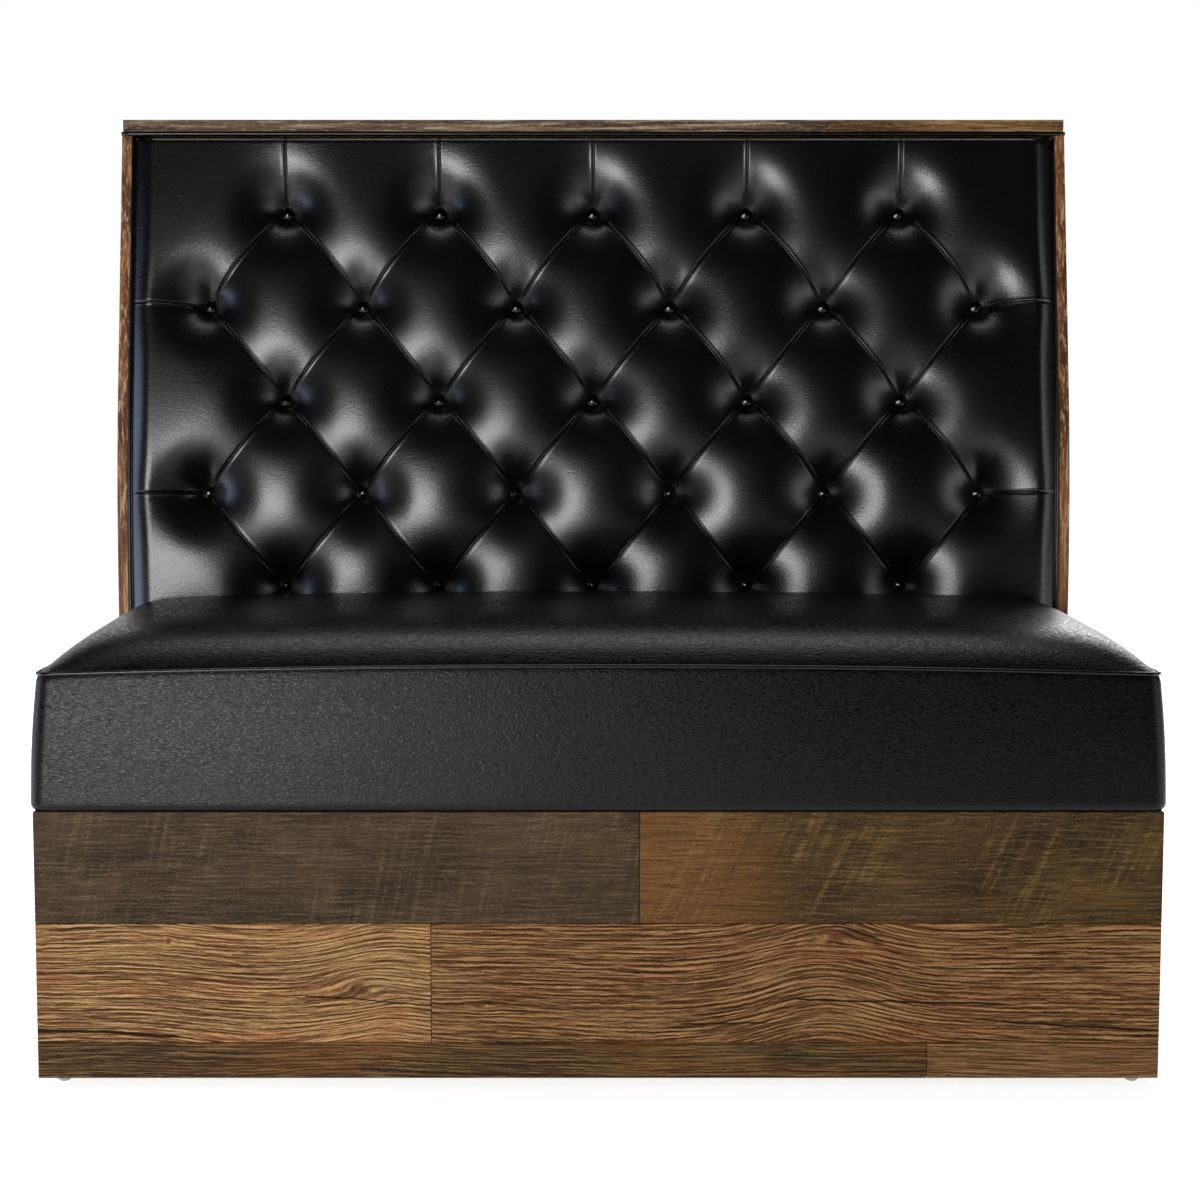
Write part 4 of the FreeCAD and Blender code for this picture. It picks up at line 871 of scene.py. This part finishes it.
def tufted_cover(finish):
    """The vinyl cover: its tufted face, its sides and a hem turned in behind."""
    pleats, buttons = tufting()
    flat, border = cover_points(pleats)
    height = pillow_height(flat, pleats, buttons)
    faces = triangles(flat, border)
    edge = flat[:border]
    shrunk = edge * (1 - 2 * BACK_HEM) + np.array([0, (PAD_TOP + PAD_BOTTOM) * BACK_HEM])
    rings = [stand_off(flat, height), stand_off(edge, -BACK_DEPTH), stand_off(shrunk, -BACK_DEPTH)]
    first = len(flat)
    faces += bridge(range(border), range(first, first + border)) + bridged(2, border, first)
    cover = piece("back_cover_tufted", np.concatenate(rings), faces, finish)
    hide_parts("back_cover")


def stand_off(flat, height):
    """Points of the pad in the frame, from X and height on the curve and their distance proud of it."""
    y, z = off_edge(flat[:, 1], height)
    return np.stack([flat[:, 0], y, z], 1)


def back_foam(finish):
    """The foam under the cover, with the same pits and valleys."""
    pleats, buttons = tufting()
    half = PAD_HALF - COVER_SKIN
    low, high = PAD_BOTTOM + COVER_SKIN, PAD_TOP - COVER_SKIN
    border = pad_border(half, low, high, FOAM_BORDER)
    rings = [np.array(buttons)]
    for x, z in buttons:
        for radius in FOAM_PIT_RINGS:
            turns = np.linspace(0, 2 * math.pi, 17)[:-1] + radius * 100
            rings.append(np.stack([x + radius * np.cos(turns), z + radius * np.sin(turns)], 1))
    middle = grid(half - FOAM_INSET, low + FOAM_INSET, high - FOAM_INSET, FOAM_STEP)
    clear = np.min([np.hypot(*(middle - spot).T) for spot in buttons], axis=0) > FOAM_PIT_CLEAR
    inner = within(np.concatenate([*rings, middle[clear]]), half, low, high, FOAM_MARGIN)
    flat = np.concatenate([border, spread_out(inner)])
    height = np.maximum(pillow_height(flat, pleats, buttons) - FOAM_CLEARANCE, -PIT_DEPTH - 2 * COVER_SKIN)
    count = len(border)
    behind = stand_off(flat[:count], COVER_SKIN - BACK_DEPTH)
    points = np.concatenate([stand_off(flat, height), behind])
    first = len(flat)
    closing = [[corner + first for corner in face[::-1]] for face in triangles(flat[:count], count)]
    faces = triangles(flat, count) + bridge(range(count), range(first, first + count)) + closing
    foam = piece("back_foam_tufted", points, faces, finish)
    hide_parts("back_foam")


def back_welts(finish):
    heights = np.linspace(PAD_BOTTOM, PAD_TOP, 60)
    y, z = off_edge(heights, -BACK_WELT_RADIUS / 2)
    for side, x in (("left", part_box("back_welt_left")[0].x), ("right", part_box("back_welt_right")[1].x)):
        centre = x - math.copysign(BACK_WELT_RADIUS, x)
        line = np.stack([np.full(len(y), centre), y, z], 1)
        welt = tube(f"back_welt_{side}_cord", line, BACK_WELT_RADIUS, finish)
        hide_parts(f"back_welt_{side}")


def cap_bead_cord(finish):
    """The bead under the cap: a round cord in front of the strip that holds it."""
    low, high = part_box("cap_bead")
    radius = (high.z - low.z) / 2
    section = [(high.y, low.z + radius * 1.6)]
    for turn in np.linspace(0.45, -0.45, 13) * math.pi:
        section.append((low.y + radius - radius * math.cos(turn), low.z + radius + radius * math.sin(turn)))
    section.append((high.y, low.z + radius * 0.4))
    points = [(x, y, z) for x in np.linspace(low.x, high.x, BEAD_RINGS) for y, z in section]
    count = len(section)
    faces = bridged(BEAD_RINGS, count)
    faces += [tuple(range(count))[::-1], tuple(range(len(points) - count, len(points)))]
    bead = piece("cap_bead_cord", points, faces, finish)
    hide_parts("cap_bead")


# Seat cushion

CUSHION_FRONT = PLANK_FACE - 0.004
CORNER_RADIUS = 0.018
REAR_RADIUS = 0.012
LEAN_FRONT = 0.0118
LEAN_SIDE = 0.0065
EDGE_FILLET = 0.008
HEM = 0.024
SEAM_HEIGHT = 0.1465
SEAM_RISE = 0.009
CROWN = 0.0466
FRONT_ROUND = 0.0345
SIDE_ROUND_FRONT = 0.040
SIDE_ROUND_REAR = 0.020
REAR_FALL = 0.004
FALL_START = 0.25
FALL_LENGTH = 0.19
SIDE_RUN = 0.42
BOXING_BULGE = 0.002
SEAM_TUCK = 0.003
TUCK_START = 0.93
SEAM_HALF = CUSHION_HALF - LEAN_SIDE
WELT_RADIUS = 0.0022
WELT_LIFT = 0.0004

# How close the points of the cushion's meshes lie
FRONT_STEPS = 200
SIDE_STEPS = 60
REAR_STEPS = 100
FRONT_CORNER_STEPS = 12
REAR_CORNER_STEPS = 6
BOXING_LEVELS = (0, 0.03, 0.08, 0.15, 0.23, 0.32, 0.41, 0.5, 0.59, 0.68, 0.77, 0.85,
                 0.9, 0.93, 0.945, 0.96, 0.975, 0.99, 1)
EDGE_INSETS = (0.0012, 0.003, 0.0055, 0.009, 0.013)
TOP_STEP = 0.007
TOP_HALF = 0.582
TOP_FRONT = -0.286
TOP_REAR = 0.113
CLOTH_COLUMNS = 80
CLOTH_ROWS = 30
WAVES_ACROSS = 47
WAVES_ALONG = 31


def seam_height(x):
    """Height of the seam, which rises towards the middle."""
    return BASE_TOP + SEAM_HEIGHT + SEAM_RISE * (1 - np.clip(x / SEAM_HALF, -1, 1) ** 2)


def cushion_top(x, y):
    """Height of the crowned top: steep behind the front welt, soon level, a little lower at the rear."""
    to_side = SEAM_HALF - np.abs(x)
    into = np.clip(CORNER_RADIUS - to_side, 0, CORNER_RADIUS)
    start = CUSHION_FRONT + LEAN_FRONT + CORNER_RADIUS - np.sqrt(CORNER_RADIUS ** 2 - into ** 2)
    back = np.maximum(y - start, 0)
    front_rise = 1 - np.exp(-back / FRONT_ROUND)
    side_round = SIDE_ROUND_FRONT + (SIDE_ROUND_REAR - SIDE_ROUND_FRONT) * np.clip(back / SIDE_RUN, 0, 1)
    side_rise = 1 - np.exp(-np.maximum(to_side, 0) / side_round)
    fall = REAR_FALL * np.clip((back - FALL_START) / FALL_LENGTH, 0, 1) ** 2
    return seam_height(x) + (CROWN - fall) * front_rise * side_rise


def cushion_outline(level, inset):
    """Points round the cushion at a level from its foot, 0, to its seam, 1, drawn in by an inset."""
    half = CUSHION_HALF - LEAN_SIDE * level - inset
    front = CUSHION_FRONT + LEAN_FRONT * level + inset
    rear = CUSHION_REAR - inset
    radius = max(CORNER_RADIUS - inset, 0.001)
    rear_radius = max(REAR_RADIUS - inset, 0.001)
    side, end = half - radius, half - rear_radius
    near, far = front + radius, rear - rear_radius
    points = [(x, front) for x in spaced(-side, side, FRONT_STEPS)]
    points += arc(side, near, radius, -90, FRONT_CORNER_STEPS)
    points += [(half, y) for y in spaced(near, far, SIDE_STEPS)]
    points += arc(end, far, rear_radius, 0, REAR_CORNER_STEPS)
    points += [(x, rear) for x in spaced(end, -end, REAR_STEPS)]
    points += arc(-end, far, rear_radius, 90, REAR_CORNER_STEPS)
    points += [(-half, y) for y in spaced(far, near, SIDE_STEPS)]
    points += arc(-side, near, radius, 180, FRONT_CORNER_STEPS)
    return np.array(points)


def spaced(start, end, steps):
    """Numbers in even steps, without the last."""
    return np.linspace(start, end, steps + 1)[:-1]


def arc(x, y, radius, start, steps):
    """A quarter round, from a start angle, without its last point."""
    angles = np.radians(start + np.arange(steps) * 90 / steps)
    return [(x + radius * math.cos(angle), y + radius * math.sin(angle)) for angle in angles]


def at_height(flat, height):
    """Points of X and Y at one height, or each at its own."""
    return np.column_stack([flat, np.broadcast_to(height, len(flat))])


def boxing_level(height):
    """The level of the cushion's outline at a height."""
    return max(height - BASE_TOP - EDGE_FILLET, 0) / (SEAM_HEIGHT - EDGE_FILLET)


def cushion_rings(inset, floor):
    """Rings from the turned-in hem, round the lower edge and up the boxing, which tucks in under the welt."""
    fillet = EDGE_FILLET - inset
    lowest = boxing_level(floor)
    rings = [at_height(cushion_outline(lowest, HEM), floor)]
    for turn in np.linspace(0, math.pi / 2, 6)[:-1]:
        outline = cushion_outline(lowest, inset + fillet * (1 - math.sin(turn)))
        rings.append(at_height(outline, floor + fillet * (1 - math.cos(turn))))
    start = floor + fillet
    lowest = boxing_level(start)
    top = cushion_top(*cushion_outline(1, inset + SEAM_TUCK).T) - inset
    for share in BOXING_LEVELS:
        level = lowest + (1 - lowest) * share
        tuck = SEAM_TUCK * max((level - TUCK_START) / (1 - TUCK_START), 0) ** 2
        outline = cushion_outline(level, inset + tuck - BOXING_BULGE * math.sin(math.pi * level))
        rings.append(at_height(outline, start + (top - start) * share))
    return rings


def boxed_cushion(name, finish, inset, floor, closed=False):
    """The cushion's form, drawn in by an inset: a cover open below, or foam closed below."""
    rings = cushion_rings(inset, floor)
    count = len(rings[0])
    faces = bridged(len(rings), count)
    inner = [cushion_outline(1, inset + SEAM_TUCK + step) for step in EDGE_INSETS]
    flat = np.concatenate([rings[-1][:, :2], *inner, grid(TOP_HALF, TOP_FRONT, TOP_REAR, TOP_STEP)])
    above = at_height(flat, cushion_top(*flat.T) - inset)
    shift = (len(rings) - 1) * count
    faces += [[corner + shift for corner in face] for face in triangles(flat, count)]
    if closed:
        faces += [face[::-1] for face in triangles(rings[0][:, :2], count)]
    return piece(name, np.concatenate(rings[:-1] + [above]), faces, finish)


def seat_cushion(looks):
    cover = boxed_cushion("seat_cover_boxed", looks["seat_vinyl"], 0.0, BASE_TOP)
    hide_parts("seat_cover")
    foam = boxed_cushion("seat_foam_block", looks["foam"], 2 * COVER_SKIN, FOAM_BOTTOM, closed=True)
    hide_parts("seat_foam")


def cloth_layer(name, node, finish, ripple):
    """A level sheet of cloth as thick as its solid, with slight ripples, and its flat size."""
    low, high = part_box(node)
    across, along = np.meshgrid(np.linspace(0, 1, CLOTH_COLUMNS + 1), np.linspace(0, 1, CLOTH_ROWS + 1))
    x, y = low.x + (high.x - low.x) * across, low.y + (high.y - low.y) * along
    inside = np.sin(np.pi * across) * np.sin(np.pi * along)
    wave = inside * ripple * (0.5 + 0.5 * np.sin(x * WAVES_ACROSS + 2 * np.sin(y * WAVES_ALONG)))
    top = np.stack([x, y, high.z - wave], 2).reshape(-1, 3)
    bottom = np.stack([x, y, low.z + wave], 2).reshape(-1, 3)
    number = np.arange(len(top)).reshape(x.shape)
    corners = [number[:-1, :-1], number[:-1, 1:], number[1:, 1:], number[1:, :-1]]
    upper = np.stack([corner.ravel() for corner in corners], 1)
    rim = np.concatenate([number[0], number[1:, -1], number[-1, -2::-1], number[-2:0:-1, 0]])
    faces = [*upper, *(upper[:, ::-1] + len(top)), *bridge(rim + len(top), rim)]
    layer = piece(name, np.concatenate([top, bottom]), faces, finish)
    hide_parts(node)
    return layer, (high.x - low.x, high.y - low.y)


def seat_layers(looks):
    felt, flat = cloth_layer("spring_felt_sheet", "spring_felt", looks["felt"], 0.0006)
    dust, flat = cloth_layer("dust_cover_cloth", "dust_cover", looks["dust_cloth"], 0.0004)


def tube(name, line, radius, finish, sides=10):
    """A round welt along a line of points, closed at both ends."""
    run = np.gradient(line, axis=0)
    run /= np.linalg.norm(run, axis=1)[:, None]
    up = np.cross(run, np.cross(np.array([0.0, 0.0, 1.0]), run))
    up[np.linalg.norm(up, axis=1) < 0.2] = (0, -1, 0)
    up /= np.linalg.norm(up, axis=1)[:, None]
    out = np.cross(run, up)
    angles = 2 * math.pi * np.arange(sides)[:, None] / sides
    around = up[:, None] * np.cos(angles) + out[:, None] * np.sin(angles)
    points = (line[:, None] + around * radius).reshape(-1, 3)
    faces = bridged(len(line), sides)
    faces += [tuple(range(sides))[::-1], tuple(range(len(points) - sides, len(points)))]
    return piece(name, points, faces, finish)


def seat_welt(finish):
    """The welt round the cushion's seam, from one rear corner to the other."""
    outline = cushion_outline(1, SEAM_TUCK - WELT_RADIUS)
    right_end = FRONT_STEPS + FRONT_CORNER_STEPS + SIDE_STEPS + 1
    left_start = right_end - 1 + REAR_CORNER_STEPS + REAR_STEPS + REAR_CORNER_STEPS
    path = np.concatenate([outline[left_start:], outline[:right_end]])
    line = at_height(path, seam_height(path[:, 0]) + WELT_LIFT)
    welt = tube("seat_welt_cord", line, WELT_RADIUS, finish)
    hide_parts("seat_welt")


def dress_frame(looks):
    """Gives every CAD node that stays its finish."""
    for name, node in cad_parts.items():
        for slot in node.material_slots:
            slot.material = looks[finish_for(name)]


# Camera, light and floor

CAMERA_PLACE = (-0.0338, -2.5811, 0.7348)
CAMERA_PITCH = 5.21
CAMERA_LENS = 64.5
CAMERA_SHIFT = 0.0276
FLOOR_GLOW = 0.74
FLOOR_HALF = 12.0
DARK_FLOOR = 0.14
ROOM_LEVEL = 0.12
DARK_SIDE = 0.015


def add_camera():
    data = bpy.data.cameras.new("camera")
    data.lens = CAMERA_LENS
    data.sensor_width = 36
    data.shift_x = CAMERA_SHIFT
    camera = placed("camera", data)
    camera.location = CAMERA_PLACE
    camera.rotation_euler = (math.radians(90 - CAMERA_PITCH), 0, 0)
    bpy.context.scene.camera = camera


def add_softbox(name, place, aim, size, power, colour=(1, 1, 1)):
    data = bpy.data.lights.new(name, "AREA")
    data.shape = "RECTANGLE"
    data.size, data.size_y = size
    data.energy = power
    data.color = colour
    box = placed(name, data)
    box.location = place
    box.rotation_euler = (Vector(aim) - Vector(place)).to_track_quat("-Z", "Y").to_euler()


def add_floor():
    finish = Finish("pale_floor", specular=0.2)
    mottle = finish.noise(finish.place, scale=3, detail=2)
    material = finish.made(finish.mix(mottle, tone(240, 240, 240), tone(246, 246, 246)), mottle * 0.1 + 0.7)
    camera, mirrored = finish.rays()
    x, y, _ = finish.axes(finish.place)
    far = (x * x + y * y).above(0.6, 6)
    dimmed = y.above(-2.2, -0.4) * (1 - DARK_FLOOR) + DARK_FLOOR
    glow = camera * (far * (1 - FLOOR_GLOW) + FLOOR_GLOW) + mirrored * dimmed
    finish.feed(finish.shader.inputs["Emission Color"], finish.mix(glow, (0, 0, 0, 1), (1, 1, 1, 1)))
    finish.feed(finish.shader.inputs["Emission Strength"], 1.0)
    corners = [(x * FLOOR_HALF, y * FLOOR_HALF, 0) for x, y in ((-1, -1), (1, -1), (1, 1), (-1, 1))]
    mesh = bpy.data.meshes.new("floor")
    mesh.from_pydata(corners, [], [(0, 1, 2, 3)])
    mesh.materials.append(material)
    floor = placed("floor", mesh)


def add_world():
    """White where the camera looks and behind the bench; reflections show a dim ceiling and near side."""
    world = bpy.data.worlds.new("studio")
    bpy.context.scene.world = world
    world.use_nodes = True
    wiring = Wiring(world.node_tree)
    direction = wiring.node("ShaderNodeTexCoord").outputs["Generated"]
    _, depth, height = wiring.axes(direction)
    camera, mirrored = wiring.rays()
    behind = depth.above(0.45, 0.8) * height.below(0.3, 0.6)
    reflected = behind * (1 - DARK_SIDE) + DARK_SIDE
    level = camera + mirrored * reflected + (1 - camera - mirrored) * ROOM_LEVEL
    colour = wiring.mix(level, (0, 0, 0, 1), (1, 1, 1, 1))
    room = wiring.node("ShaderNodeBackground", sockets={"Color": colour})
    wiring.node("ShaderNodeOutputWorld", sockets={"Surface": room.outputs[0]})


def add_lights():
    add_softbox("low_softbox", (-1.3, -3.3, 0.58), (-0.2, 0, 0.5), (1.5, 1.08), 80)
    add_softbox("left_front_softbox", (-1.6, -3.2, 1.35), (-0.2, 0, 0.6), (1.4, 0.8), 8)
    add_softbox("right_softbox", (2.3, -0.8, 0.9), (0.2, 0.1, 0.75), (0.6, 1.5), 6)
    add_softbox("left_strip", (-2.1, -0.1, 0.65), (-0.58, 0.2, 0.75), (0.7, 1.1), 10, (0.56, 0.68, 1.0))
    add_softbox("top_softbox", (0, 0.55, 2.8), (0, 0, 0.6), (2.2, 1.1), 30)
    add_softbox("rear_softbox", (0.8, 3.6, 1.9), (0, 0.3, 0.5), (3.0, 2.0), 60)


looks = finishes()
dress_frame(looks)
tufted_cover(looks["back_vinyl"])
back_foam(looks["foam"])
back_welts(looks["welt_vinyl"])
cap_bead_cord(looks["welt_vinyl"])
seat_cushion(looks)
seat_layers(looks)
seat_welt(looks["welt_vinyl"])
add_camera()
add_floor()
add_world()
add_lights()

bpy.context.scene.view_settings.view_transform = "Standard"
